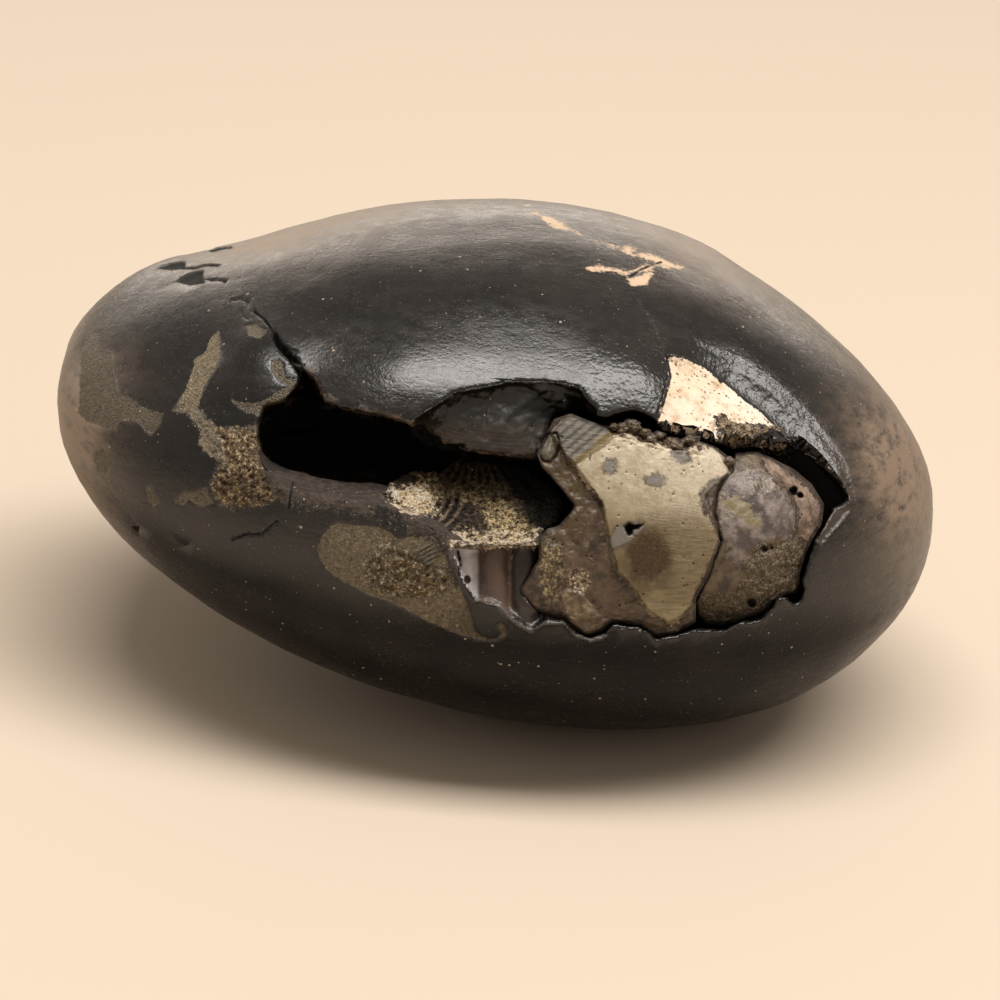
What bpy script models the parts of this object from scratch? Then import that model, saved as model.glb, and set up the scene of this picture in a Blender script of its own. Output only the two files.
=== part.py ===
# Shaligram stone: a river-worn black nodule, broken open on its front over a hollow with
# pyrite crystals and over the two blocks of a fossil cast.
#
# The stone is modelled in its own frame, in millimetres, with its middle at the origin.
# Outlines on the front are (u, v) pairs, millimetres right and up of the middle, on a plane
# square to the line of sight.  They are carried onto the stone along lines to an eye point.

import math
import random

import bmesh
import bpy
from mathutils import Matrix, Vector, noise
from mathutils.bvhtree import BVHTree

MM = 0.001
COLLECTION_NAME = "shaligram_stone"

# Body, half sizes
HALF_LENGTH = 45.65
HALF_DEPTH = 34.0
HALF_HEIGHT_TOP = 25.05
HALF_HEIGHT_BELOW = 24.8
END_FULLNESS = 0.85         # below 1 the ends are blunter than an ellipsoid's
PLAN_FULLNESS = 0.90        # the same as seen from above
SECTION_FULLNESS = 0.94     # the same for the cross section
PLAN_TAPER = 0.03           # the right end is wider than the left
TOP_LEAN, TOP_TAPER = 0.07, -0.29
BELOW_LEAN, BELOW_TAPER = 0.245, -0.03
SPINE = (1.25, -3.45, 1.4, -3.25)   # height of the long axis, a cubic along the stone
BODY_SHIFT = -0.35          # along the stone from the middle of the outlines' plane

# How it stands
LEFT_END_DROP = math.radians(6.0)
FOOT_CUT = 1.25             # height worn off the lowest point, which leaves the flat spot

# Line of sight for the outlines
SIGHT_ANGLE = math.radians(24.0)
EYE_DISTANCE = 450.0
RIGHT = Vector((1.0, 0.0, 0.0))
UP = Vector((0.0, math.sin(SIGHT_ANGLE), math.cos(SIGHT_ANGLE)))
TOWARD_EYE = Vector((0.0, -math.cos(SIGHT_ANGLE), math.sin(SIGHT_ANGLE)))
EYE = TOWARD_EYE * EYE_DISTANCE
IN_FRONT = 60.0             # a level outside the whole stone
RIM_LEVEL = 20.0            # stands in for the surface where a sight line misses the stone
LEAST_BLOCK = 2.0           # a block cut to a height function is never thinner than this
BODY_SUBDIVISIONS = 5

# Broad swellings (+) and dips (-) round the rim: u, v, radius, height
RIM_RELIEF = (
    (-36.5, 21.7, 7.0, 1.1),
    (-25.4, 24.3, 7.0, -1.0),
    (17.7, 25.2, 14.0, 0.7),
    (31.9, 16.8, 10.0, -0.5),
    (46.0, -5.2, 9.0, 0.7),
    (38.5, -20.3, 8.0, -1.0),
    (21.4, -27.9, 14.0, 0.4),
    (-18.5, -20.8, 8.0, -1.5),
    (-1.8, -26.7, 7.0, 0.5),
    (-38.5, -9.5, 9.0, 1.6),
    (-46.5, 4.5, 8.0, -1.3),
)

# Swellings and dips on the front face: u, v, radius, height
FACE_RELIEF = (
    (-24.7, 11.3, 4.5, 1.2),    # knob at the left of the mouth
    (-9.7, 9.8, 6.0, 0.8),      # thick middle of the upper lip
    (14.0, 9.2, 5.5, 1.1),      # boss above the cast
    (21.9, 12.2, 4.5, -0.7),    # sunken strip that runs down round the cast
    (26.1, 9.5, 4.5, -0.9),
    (30.3, 6.4, 4.5, -0.9),
    (34.0, 2.7, 4.5, -0.8),
    (-17.0, 17.5, 8.0, 0.5),    # shoulder along the top of the front
    (-4.0, 17.5, 8.0, 0.5),
    (9.0, 17.0, 8.0, 0.5),
)

# Edge of the broken opening, clockwise from its left end.  Where the lip is broken on a
# slant, two more numbers give the inner edge of the slanted face.
OPENING = (
    (-25.2, 3.5), (-24.6, 6.2), (-22.4, 6.8), (-21.0, 8.5), (-20.3, 10.1), (-19.0, 8.8),
    (-18.1, 6.7), (-16.0, 6.0), (-12.3, 5.3), (-9.2, 4.4),
    (-6.8, 6.1, -7.2, 2.5), (-4.4, 7.7, -4.5, 1.7), (-1.5, 8.2, -2.0, 1.2),
    (1.0, 8.8, 1.2, 0.9), (5.1, 8.8, 4.2, 0.9), (7.4, 8.5, 5.0, 3.2),
    (8.8, 8.0, 5.8, 5.2), (9.5, 7.1, 8.4, 6.0),
    (11.2, 5.0), (13.0, 5.5), (14.5, 5.8), (16.3, 5.1), (17.2, 3.9), (19.0, 3.2),
    (21.4, 2.9), (22.9, 2.4), (26.1, 2.1), (28.8, 1.9), (31.4, 2.4), (33.4, 0.9),
    (35.2, -0.9), (37.1, -2.3), (37.2, -3.6), (36.1, -4.7), (35.6, -6.9), (34.2, -8.2),
    (33.4, -9.5), (32.6, -11.6), (32.2, -13.8), (31.0, -14.5), (30.3, -13.9),
    (29.0, -15.2), (27.7, -16.4), (25.4, -16.5), (24.2, -17.3), (21.0, -17.2),
    (18.8, -17.9), (16.8, -18.3), (15.2, -17.0), (12.2, -16.7), (11.3, -17.7),
    (9.8, -18.1), (8.4, -17.7), (7.2, -16.4), (5.3, -16.2), (3.6, -17.2), (1.8, -15.8),
    (0.3, -14.8), (-2.0, -14.2), (-3.0, -12.9), (-4.4, -9.9), (-5.0, -8.5), (-6.0, -6.8),
    (-8.1, -5.8), (-10.7, -4.6), (-12.8, -3.9), (-16.5, -3.6), (-19.7, -3.0),
    (-21.8, -2.5), (-23.4, -1.7), (-24.6, -0.2), (-25.2, 1.5),
)
LIP_START = 0.3             # the cut leaves the sight lines this far outside the surface
LIP_SLANT_DEPTH = 4.0       # how far in the slanted face ends
OPENING_BACK_LEVEL = 6.0    # toward the eye from the middle, behind every floor

# Lower edge of the opening as far as the cast, where the floor starts
FLOOR_EDGE = (
    (-25.2, 1.5), (-24.6, -0.2), (-23.4, -1.7), (-21.8, -2.5), (-16.5, -3.6),
    (-12.8, -3.9), (-8.1, -5.8), (-5.0, -8.5), (4.5, -8.5),
)
FLOOR_STEP = 1.5
FLOOR_MARGIN = 2.2          # seats reach this far past the outline of what sits in them
SEAT_GAP = 0.5
ROLLED_EDGE_DEPTH = 1.2     # the edge rolls in, then falls away
ROLLED_EDGE_SLOPE = 2.2
HOLLOW_DEPTH = 12.0
RIB_MOULD_DEPTH = 3.2

# The hollow behind the lip
HOLLOW_CENTRE = (-9.0, 3.5)
HOLLOW_CENTRE_DEPTH = 13.5
HOLLOW_HALF_SIZES = (16.5, 10.5, 8.5)
HOLLOW_ROUGHNESS = 0.7
HOLLOW_LUMPS = 2.3          # lumps across the hollow's unit sphere

# Ribs left by the shell under the crystals: u, v, half width, half height
RIBS = ((-3.3, -11.2, 1.2, 2.4), (-0.6, -11.8, 1.4, 2.9), (1.7, -11.0, 1.1, 1.9))
RIB_HALF_DEPTH = 1.0
RIB_SEGMENTS = (10, 8)

# Fossil cast: main block, rounded end block, and the raised plates of the main block
CAST_MAIN = (
    (6.2, 4.6), (7.8, 5.1), (9.8, 4.3), (11.5, 3.9), (13.3, 3.5), (15.1, 3.6), (17.2, 2.8),
    (20.3, 2.5), (22.7, 1.8), (24.0, 0.8), (24.5, -0.5), (23.4, -1.5), (22.9, -2.8),
    (22.6, -4.9), (23.1, -6.6), (23.4, -7.9), (22.8, -9.1), (21.9, -11.6), (20.6, -13.9),
    (20.6, -16.3), (18.8, -17.3), (16.8, -17.7), (15.1, -16.5), (12.1, -16.1),
    (11.1, -17.1), (9.8, -17.5), (8.5, -17.1), (7.3, -15.8), (5.6, -15.5), (3.8, -14.6),
    (2.7, -13.1), (3.8, -11.5), (4.7, -9.9), (4.7, -7.8), (5.4, -6.9), (6.7, -6.6),
    (8.0, -5.2), (8.5, -4.2), (7.5, -2.8), (6.2, -1.3), (4.9, 0.1), (4.5, 1.2), (5.3, 2.7),
)
CAST_END = (
    (25.3, 1.0), (27.2, 1.2), (29.1, 0.3), (31.1, -0.7), (32.9, -2.2), (34.1, -4.2),
    (33.8, -6.2), (32.9, -7.6), (32.2, -9.1), (31.6, -11.1), (31.4, -13.1), (30.1, -13.3),
    (28.9, -14.1), (27.9, -15.3), (26.1, -15.7), (24.1, -16.4), (22.3, -16.4),
    (21.4, -15.6), (21.3, -14.2), (22.5, -11.8), (23.4, -9.3), (24.0, -7.9),
    (23.6, -6.6), (23.2, -5.0), (23.5, -3.0), (24.0, -1.8), (25.0, -0.8),
)
PALE_PLATE = (
    (12.0, 3.4), (21.5, 2.4), (24.4, -0.3), (24.0, -1.6), (22.4, -3.7), (22.2, -5.7),
    (23.3, -7.9), (22.0, -11.6), (20.2, -14.4), (18.7, -16.3), (16.7, -15.6),
    (13.8, -12.1), (12.3, -9.1), (11.3, -6.2), (11.0, -3.7), (8.0, 0.3), (10.3, 2.3),
)
LAYERED_PIECE = (
    (5.7, 3.7), (7.8, 5.2), (8.9, 5.0), (10.3, 4.2), (11.8, 3.8), (12.0, 3.0),
    (8.5, 0.4), (7.5, 0.8), (6.3, 2.1),
)
SMALL_PATCH = ((7.2, -13.2), (9.6, -14.6), (11.4, -16.2), (10.6, -17.3), (8.4, -16.7), (7.2, -15.0))
CAST_STEP = 1.2
CAST_BACK_LEVEL = 16.0      # toward the eye from the middle
CAST_RECESS = 1.5
END_RECESS = 0.7
CAST_ROUGHNESS = 0.2
CAST_LUMP = 2.1
END_LUMP = 1.6
CAST_EDGE_ROUNDING = 0.9
CAST_EDGE_WIDTH = 1.4
PLATE_RISE = 0.8
LAYERED_RISE = 0.9
PATCH_RISE = 0.5
PLATE_EDGE = (-0.3, 0.9)    # a plate rises between these distances to its outline
PIT = (14.2, -6.2, 0.9, 1.8)        # u, v, radius, depth
END_DOME = (27.6, -6.4, 7.5)        # u, v, radius of the end block's domed face
END_DOME_DROP = 1.5

# Crystal crust on the floor of the hollow
CRUST = (
    (-12.0, -3.5), (-11.0, -2.0), (-8.9, -0.8), (-6.0, -1.1), (-4.4, 0.2), (0.3, 0.2),
    (3.6, -0.7), (5.3, -2.2), (6.5, -3.7), (6.9, -4.6), (5.8, -5.9), (4.3, -6.8),
    (3.9, -8.1), (0.0, -8.4), (-3.0, -8.2), (-4.3, -7.5), (-5.6, -6.2), (-8.0, -5.1),
    (-10.3, -4.0),
)
CRUST_STEP = 1.1
CRUST_EDGE_DEPTH = 2.5
CRUST_SLOPE = 1.2
CRUST_THICKNESS = 1.9
WHORL_CENTRE = (-9.0, -3.4)
WHORL_PITCH = 1.5
WHORL_HEIGHT = 0.3
WHORL_FADE_IN = (1.5, 3.0)
WHORL_FADE_OUT = (5.0, 6.5)
CRUST_LUMP = 1.7
CRUST_LUMP_HEIGHT = 0.5
CRYSTAL_SEED = 11
CRYSTAL_COUNT = 15
CRYSTAL_SIZES = (0.9, 1.9)
CRYSTAL_SPACING = 1.9
CRYSTAL_EDGE_MARGIN = 1.1

# Cracks in the shell: (u, v) path, width and depth where it is widest
MOUTH_CRACK = ((-24.4, 15.1), (-23.4, 13.6), (-22.8, 12.7), (-21.5, 11.3), (-20.5, 9.6))
MOUTH_CRACK_SIZE = (1.3, 2.6)
NOTCH = ((-28.0, 17.7), (-26.9, 17.5), (-25.8, 17.2), (-25.6, 16.0))
NOTCH_SIZE = (0.9, 0.9)
GROOVE_START = 0.25         # share of the full size at a groove's thin end
GROOVE_OVERSHOOT = 1.0      # height of a groove's cutter outside the surface

# Flake scars on the left shoulder: u, v, half length, half width, turn in degrees
FLAKE_SCARS = (
    (-31.6, 21.3, 5.2, 3.0, 12.0),
    (-33.0, 20.2, 4.2, 2.2, 4.0),
    (-30.8, 19.5, 3.0, 1.7, -8.0),
)
SCAR_HALF_DEPTH = 1.5
SCAR_BITE = 0.7
SCAR_SEGMENTS = (14, 8)
FOOT_BLOCK_SIZE = 100.0

# Materials: base colour, roughness, metallic
STONE_FINISH = ((0.022, 0.020, 0.019, 1.0), 0.38, 0.0)
CAST_FINISH = ((0.38, 0.34, 0.24, 1.0), 0.45, 0.25)
CAST_END_FINISH = ((0.20, 0.16, 0.14, 1.0), 0.50, 0.15)
CRUST_FINISH = ((0.62, 0.44, 0.18, 1.0), 0.35, 0.60)


def clear_scene():
    for scene_object in list(bpy.data.objects):
        bpy.data.objects.remove(scene_object, do_unlink=True)


def new_collection(name):
    collection = bpy.data.collections.new(name)
    bpy.context.scene.collection.children.link(collection)
    return collection


def soften(value):
    return math.copysign(abs(value) ** SECTION_FULLNESS, value)


def plain_body_point(direction):
    along = direction.x
    ring = math.sqrt(max(0.0, 1.0 - along * along))
    across = direction.y / ring if ring > 1e-6 else 0.0
    rise = direction.z / ring if ring > 1e-6 else 0.0
    end_swell = ring ** END_FULLNESS
    plan_swell = ring ** PLAN_FULLNESS * (1.0 + PLAN_TAPER * along)
    if rise > 0.0:
        half_height = HALF_HEIGHT_TOP * (1.0 + TOP_LEAN * along + TOP_TAPER * along ** 2)
    else:
        half_height = HALF_HEIGHT_BELOW * (1.0 + BELOW_LEAN * along + BELOW_TAPER * along ** 2)
    spine_height = sum(factor * along ** power for power, factor in enumerate(SPINE))
    return Vector((
        HALF_LENGTH * along + BODY_SHIFT,
        HALF_DEPTH * plan_swell * soften(across),
        half_height * end_swell * soften(rise) + spine_height,
    ))


def body_bmesh(subdivisions):
    bm = bmesh.new()
    bmesh.ops.create_icosphere(bm, subdivisions=subdivisions, radius=1.0)
    for vert in bm.verts:
        vert.co = plain_body_point(vert.co.normalized())
    return bm


def add_relief(bm, swellings):
    for vert in bm.verts:
        outward = vert.co.normalized()
        lift = sum(
            height * math.exp(-((vert.co - centre).length / radius) ** 2)
            for centre, radius, height in swellings
        )
        vert.co += outward * lift


def plane_point(u, v):
    return RIGHT * u + UP * v


def sight_point(u, v, level):
    """The point on the sight line through (u, v), at a level toward the eye from the middle."""
    return plane_point(u, v).lerp(EYE, level / EYE_DISTANCE)


def surface_level(surface, u, v):
    """Level of the surface under (u, v), toward the eye from the middle."""
    hit = surface.ray_cast(EYE, plane_point(u, v) - EYE)[0]
    return hit.dot(TOWARD_EYE) if hit else RIM_LEVEL


def inside(outline, u, v):
    crossings = False
    for (u0, v0), (u1, v1) in zip(outline, outline[1:] + outline[:1]):
        if (v0 > v) != (v1 > v) and u < u0 + (v - v0) / (v1 - v0) * (u1 - u0):
            crossings = not crossings
    return crossings


def edge_distance(outline, u, v):
    """Distance to an outline, positive inside it."""
    point = Vector((u, v))
    nearest = 1e9
    for start, end in zip(outline, outline[1:] + outline[:1]):
        start, side = Vector(start), Vector(end) - Vector(start)
        share = min(1.0, max(0.0, (point - start).dot(side) / side.length_squared))
        nearest = min(nearest, (start + side * share - point).length)
    return nearest if inside(outline, u, v) else -nearest


def ramp(value, start, end):
    share = min(1.0, max(0.0, (value - start) / (end - start)))
    return share * share * (3.0 - 2.0 * share)


def roughness_at(u, v, size):
    return noise.noise(Vector((u / size, v / size, 0.37 * size)))


def height_on_line(points, u):
    for (u0, v0), (u1, v1) in zip(points, points[1:]):
        if u <= u1:
            return v0 + max(0.0, u - u0) / (u1 - u0) * (v1 - v0)
    return points[-1][1]


def loft(rings):
    """A closed body through rings of equal point counts, with both ends capped."""
    bm = bmesh.new()
    loops = [[bm.verts.new(point) for point in ring] for ring in rings]
    for near, far in zip(loops, loops[1:]):
        for index in range(len(near)):
            following = (index + 1) % len(near)
            bm.faces.new((near[index], near[following], far[following], far[index]))
    bm.faces.new(loops[0])
    bm.faces.new(loops[-1])
    bmesh.ops.recalc_face_normals(bm, faces=bm.faces)
    return bm


def prism(outline, back_level):
    return loft([[sight_point(u, v, level) for u, v in outline] for level in (IN_FRONT, back_level)])


def height_sheet(outline, step, top_level, bottom_level):
    """A block over an outline's box whose two faces follow height functions of (u, v)."""
    us = [u for u, _ in outline]
    vs = [v for _, v in outline]
    columns = math.ceil((max(us) - min(us)) / step) + 2
    rows = math.ceil((max(vs) - min(vs)) / step) + 2
    bm = bmesh.new()
    bmesh.ops.create_grid(bm, x_segments=columns, y_segments=rows, size=0.5)
    places = {}
    for vert in bm.verts:
        u = min(us) - step + (vert.co.x + 0.5) * columns * step
        v = min(vs) - step + (vert.co.y + 0.5) * rows * step
        places[vert] = (u, v)
    grid_faces = list(bm.faces)
    extruded = bmesh.ops.extrude_face_region(bm, geom=grid_faces, use_keep_orig=True)
    far_verts = [item for item in extruded["geom"] if isinstance(item, bmesh.types.BMVert)]
    far_at = {(round(vert.co.x, 6), round(vert.co.y, 6)): vert for vert in far_verts}
    for vert, (u, v) in places.items():
        far = far_at[(round(vert.co.x, 6), round(vert.co.y, 6))]
        vert.co = sight_point(u, v, top_level(u, v))
        far.co = sight_point(u, v, bottom_level(u, v))
    bmesh.ops.recalc_face_normals(bm, faces=bm.faces)
    return bm


def standing_matrix(body):
    """Turns the body level, centres it over the origin and puts its worn foot on z = 0."""
    turn = Matrix.Rotation(-LEFT_END_DROP, 4, "Y")
    turned = [turn @ vert.co for vert in body.verts]
    lows = [min(co[axis] for co in turned) for axis in range(3)]
    highs = [max(co[axis] for co in turned) for axis in range(3)]
    move = Vector((
        -(lows[0] + highs[0]) / 2.0,
        -(lows[1] + highs[1]) / 2.0,
        -(lows[2] + FOOT_CUT),
    ))
    return Matrix.Scale(MM, 4) @ Matrix.Translation(move) @ turn


def finish_material(name, finish):
    colour, roughness, metallic = finish
    material = bpy.data.materials.new(name)
    material.use_nodes = True
    shader = material.node_tree.nodes["Principled BSDF"]
    shader.inputs["Base Color"].default_value = colour
    shader.inputs["Roughness"].default_value = roughness
    shader.inputs["Metallic"].default_value = metallic
    material.diffuse_color = colour
    return material


def add_object(name, bm, matrix, collection, material=None):
    bm.transform(matrix)
    bmesh.ops.triangulate(bm, faces=bm.faces)
    if bm.calc_volume(signed=True) < 0.0:
        bmesh.ops.reverse_faces(bm, faces=bm.faces)
    mesh = bpy.data.meshes.new(name)
    bm.to_mesh(mesh)
    bm.free()
    new_object = bpy.data.objects.new(name, mesh)
    collection.objects.link(new_object)
    if material:
        mesh.materials.append(material)
    else:
        new_object.hide_render = True
        new_object.display_type = "WIRE"
    return new_object


def combine(target, operation, other):
    boolean = target.modifiers.new(other.name, "BOOLEAN")
    boolean.operation = operation
    boolean.solver = "MANIFOLD"     # the exact solver leaves open edges at these thin slivers
    boolean.object = other


def opening_bmesh(surface):
    """The broken opening: straight in along the sight lines, but slanted at the lip."""
    outer = [point[:2] for point in OPENING]
    inner = [point[-2:] for point in OPENING]
    outer_levels = [surface_level(surface, u, v) for u, v in outer]
    return loft([
        [sight_point(u, v, IN_FRONT) for u, v in outer],
        [sight_point(u, v, level + LIP_START) for (u, v), level in zip(outer, outer_levels)],
        [sight_point(u, v, level - LIP_SLANT_DEPTH) for (u, v), level in zip(inner, outer_levels)],
        [sight_point(u, v, OPENING_BACK_LEVEL) for u, v in inner],
    ])


def crust_depth(u, v):
    from_whorl = math.dist((u, v), WHORL_CENTRE)
    fade = ramp(from_whorl, *WHORL_FADE_IN) * (1.0 - ramp(from_whorl, *WHORL_FADE_OUT))
    ripple = WHORL_HEIGHT * math.cos(2.0 * math.pi * from_whorl / WHORL_PITCH) * fade
    lumps = CRUST_LUMP_HEIGHT * roughness_at(u, v, CRUST_LUMP)
    above_edge = max(0.0, v - height_on_line(FLOOR_EDGE, u))
    return CRUST_EDGE_DEPTH + CRUST_SLOPE * above_edge - ripple + lumps


def floor_depth(u, v, surface_at):
    """Depth of the opening's floor below the stone's outer surface."""
    above_edge = v - height_on_line(FLOOR_EDGE, u)
    if above_edge < 0.0:
        depth = RIB_MOULD_DEPTH
    else:
        depth = min(HOLLOW_DEPTH, ROLLED_EDGE_DEPTH + ROLLED_EDGE_SLOPE * above_edge)
    if edge_distance(CRUST, u, v) > -FLOOR_MARGIN:
        depth = crust_depth(u, v) + CRUST_THICKNESS + SEAT_GAP
    if max(edge_distance(block, u, v) for block in (CAST_MAIN, CAST_END)) > -FLOOR_MARGIN:
        depth = max(depth, surface_at - CAST_BACK_LEVEL + SEAT_GAP)
    return depth


def hollow_bmesh(surface):
    u, v = HOLLOW_CENTRE
    centre = sight_point(u, v, surface_level(surface, u, v) - HOLLOW_CENTRE_DEPTH)
    across, deep, tall = HOLLOW_HALF_SIZES
    bm = bmesh.new()
    bmesh.ops.create_icosphere(bm, subdivisions=3, radius=1.0)
    for vert in bm.verts:
        swell = 1.0 + HOLLOW_ROUGHNESS / tall * noise.noise(vert.co * HOLLOW_LUMPS)
        local = vert.co * swell
        vert.co = centre + RIGHT * local.x * across + TOWARD_EYE * local.y * deep + UP * local.z * tall
    return bm


def rib_bmesh(surface, u, v, half_width, half_height):
    level = surface_level(surface, u, v) - RIB_MOULD_DEPTH
    centre = sight_point(u, v, level)
    bm = bmesh.new()
    around, rows = RIB_SEGMENTS
    bmesh.ops.create_uvsphere(bm, u_segments=around, v_segments=rows, radius=1.0)
    for vert in bm.verts:
        local = vert.co.copy()
        vert.co = (centre + RIGHT * local.x * half_width + UP * local.z * half_height
                   + TOWARD_EYE * local.y * RIB_HALF_DEPTH)
    return bm


def groove_bmesh(surface, path, width, depth):
    """A wedge-shaped cut along a path, widest at the end and drawn to a point at the start."""
    rings = []
    for index, (u, v) in enumerate(path):
        before = Vector(path[max(0, index - 1)])
        after = Vector(path[min(len(path) - 1, index + 1)])
        side = (after - before).normalized().orthogonal() * width / 2.0
        share = GROOVE_START + (1.0 - GROOVE_START) * index / (len(path) - 1)
        level = surface_level(surface, u, v)
        rings.append([
            sight_point(u - side.x * share, v - side.y * share, level + GROOVE_OVERSHOOT),
            sight_point(u + side.x * share, v + side.y * share, level + GROOVE_OVERSHOOT),
            sight_point(u, v, level - depth * share),
        ])
    return loft(rings)


def scar_bmesh(surface, u, v, half_length, half_width, turn):
    """A flat lens that bites into the surface, for a scar where a flake came off."""
    place, normal, _, _ = surface.ray_cast(EYE, plane_point(u, v) - EYE)
    along = (RIGHT - normal * RIGHT.dot(normal)).normalized()
    along.rotate(Matrix.Rotation(math.radians(turn), 3, normal))
    across = normal.cross(along)
    centre = place + normal * (SCAR_HALF_DEPTH - SCAR_BITE)
    bm = bmesh.new()
    around, rows = SCAR_SEGMENTS
    bmesh.ops.create_uvsphere(bm, u_segments=around, v_segments=rows, radius=1.0)
    for vert in bm.verts:
        local = vert.co.copy()
        vert.co = (centre + along * local.x * half_length + across * local.y * half_width
                   + normal * local.z * SCAR_HALF_DEPTH)
    return bm


def foot_bmesh():
    """A box whose top is the floor plane, already in place in metres."""
    bm = bmesh.new()
    bmesh.ops.create_cube(bm, size=1.0)
    size = FOOT_BLOCK_SIZE * MM
    bmesh.ops.scale(bm, vec=(size, size, size), verts=bm.verts)
    bmesh.ops.translate(bm, vec=(0.0, 0.0, -size / 2.0), verts=bm.verts)
    return bm


def cast_main_recess(u, v):
    recess = CAST_RECESS + CAST_ROUGHNESS * roughness_at(u, v, CAST_LUMP)
    recess -= PLATE_RISE * ramp(edge_distance(PALE_PLATE, u, v), *PLATE_EDGE)
    recess -= LAYERED_RISE * ramp(edge_distance(LAYERED_PIECE, u, v), *PLATE_EDGE)
    recess -= PATCH_RISE * ramp(edge_distance(SMALL_PATCH, u, v), *PLATE_EDGE)
    pit_u, pit_v, pit_radius, pit_depth = PIT
    recess += pit_depth * math.exp(-(math.dist((u, v), (pit_u, pit_v)) / pit_radius) ** 2)
    from_edge = edge_distance(CAST_MAIN, u, v)
    return recess + CAST_EDGE_ROUNDING * (1.0 - ramp(from_edge, 0.0, CAST_EDGE_WIDTH))


def cast_end_recess(u, v):
    dome_u, dome_v, dome_radius = END_DOME
    from_middle = math.dist((u, v), (dome_u, dome_v)) / dome_radius
    recess = END_RECESS + END_DOME_DROP * from_middle ** 2
    recess += CAST_ROUGHNESS * roughness_at(u, v, END_LUMP)
    from_edge = edge_distance(CAST_END, u, v)
    return recess + CAST_EDGE_ROUNDING * (1.0 - ramp(from_edge, 0.0, CAST_EDGE_WIDTH))


def crystal_places():
    """Seeded places on the crust, far enough apart that no two crystals meet."""
    chooser = random.Random(CRYSTAL_SEED)
    us = [u for u, _ in CRUST]
    vs = [v for _, v in CRUST]
    places = []
    while len(places) < CRYSTAL_COUNT:
        place = (chooser.uniform(min(us), max(us)), chooser.uniform(min(vs), max(vs)))
        size = chooser.uniform(*CRYSTAL_SIZES)
        clear = all(math.dist(place, other) > CRYSTAL_SPACING for other, _, _ in places)
        if clear and edge_distance(CRUST, *place) > CRYSTAL_EDGE_MARGIN:
            spin = [chooser.uniform(0.0, math.pi) for _ in range(3)]
            places.append((place, size, spin))
    return places


def crystals_bmesh(surface):
    bm = bmesh.new()
    for (u, v), size, (turn_x, turn_y, turn_z) in crystal_places():
        centre = sight_point(u, v, surface_level(surface, u, v) - crust_depth(u, v))
        turn = (Matrix.Rotation(turn_x, 4, "X") @ Matrix.Rotation(turn_y, 4, "Y")
                @ Matrix.Rotation(turn_z, 4, "Z"))
        bmesh.ops.create_cube(bm, size=size, matrix=Matrix.Translation(centre) @ turn)
    return bm


def build_stone(surface, body, matrix, parts, cutters):
    stone = add_object("stone", body, matrix, parts, finish_material("black_shell", STONE_FINISH))

    opening = add_object("opening_cut", opening_bmesh(surface), matrix, cutters)
    flat_outline = tuple(point[:2] for point in OPENING)

    def floor_level(u, v):
        level = surface_level(surface, u, v)
        return max(level - floor_depth(u, v, level), OPENING_BACK_LEVEL - LEAST_BLOCK)

    def behind(u, v):
        return OPENING_BACK_LEVEL - 2.0 * LEAST_BLOCK

    floor_block = height_sheet(flat_outline, FLOOR_STEP, floor_level, behind)
    combine(opening, "DIFFERENCE", add_object("opening_floor", floor_block, matrix, cutters))
    combine(stone, "DIFFERENCE", opening)

    hollow = add_object("hollow_cut", hollow_bmesh(surface), matrix, cutters)
    combine(stone, "DIFFERENCE", hollow)
    for number, rib in enumerate(RIBS, start=1):
        ridge = add_object(f"rib_{number}", rib_bmesh(surface, *rib), matrix, cutters)
        combine(stone, "UNION", ridge)
    for name, path, size in (("mouth_crack", MOUTH_CRACK, MOUTH_CRACK_SIZE), ("notch", NOTCH, NOTCH_SIZE)):
        groove = add_object(name, groove_bmesh(surface, path, *size), matrix, cutters)
        combine(stone, "DIFFERENCE", groove)
    for number, scar in enumerate(FLAKE_SCARS, start=1):
        lens = add_object(f"flake_scar_{number}", scar_bmesh(surface, *scar), matrix, cutters)
        combine(stone, "DIFFERENCE", lens)
    foot = add_object("foot_cut", foot_bmesh(), Matrix.Identity(4), cutters)
    combine(stone, "DIFFERENCE", foot)


def build_cast_block(name, outline, recess, finish, surface, matrix, parts, cutters):
    material = finish_material(name + "_finish", finish)
    block = add_object(name, prism(outline, CAST_BACK_LEVEL), matrix, parts, material)

    def face_level(u, v):
        return max(surface_level(surface, u, v) - recess(u, v), CAST_BACK_LEVEL - LEAST_BLOCK)

    def behind(u, v):
        return CAST_BACK_LEVEL - 2.0 * LEAST_BLOCK

    face = height_sheet(outline, CAST_STEP, face_level, behind)
    combine(block, "INTERSECT", add_object(name + "_face", face, matrix, cutters))


def build_crust(surface, matrix, parts, cutters):
    material = finish_material("pyrite_crystals", CRUST_FINISH)
    crust = add_object("crystal_crust", prism(CRUST, OPENING_BACK_LEVEL), matrix, parts, material)

    def top_level(u, v):
        return surface_level(surface, u, v) - crust_depth(u, v)

    def bottom_level(u, v):
        return top_level(u, v) - CRUST_THICKNESS

    layer = height_sheet(CRUST, CRUST_STEP, top_level, bottom_level)
    combine(crust, "INTERSECT", add_object("crust_layer", layer, matrix, cutters))
    crystals = add_object("crust_crystals", crystals_bmesh(surface), matrix, cutters)
    combine(crust, "UNION", crystals)


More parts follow.
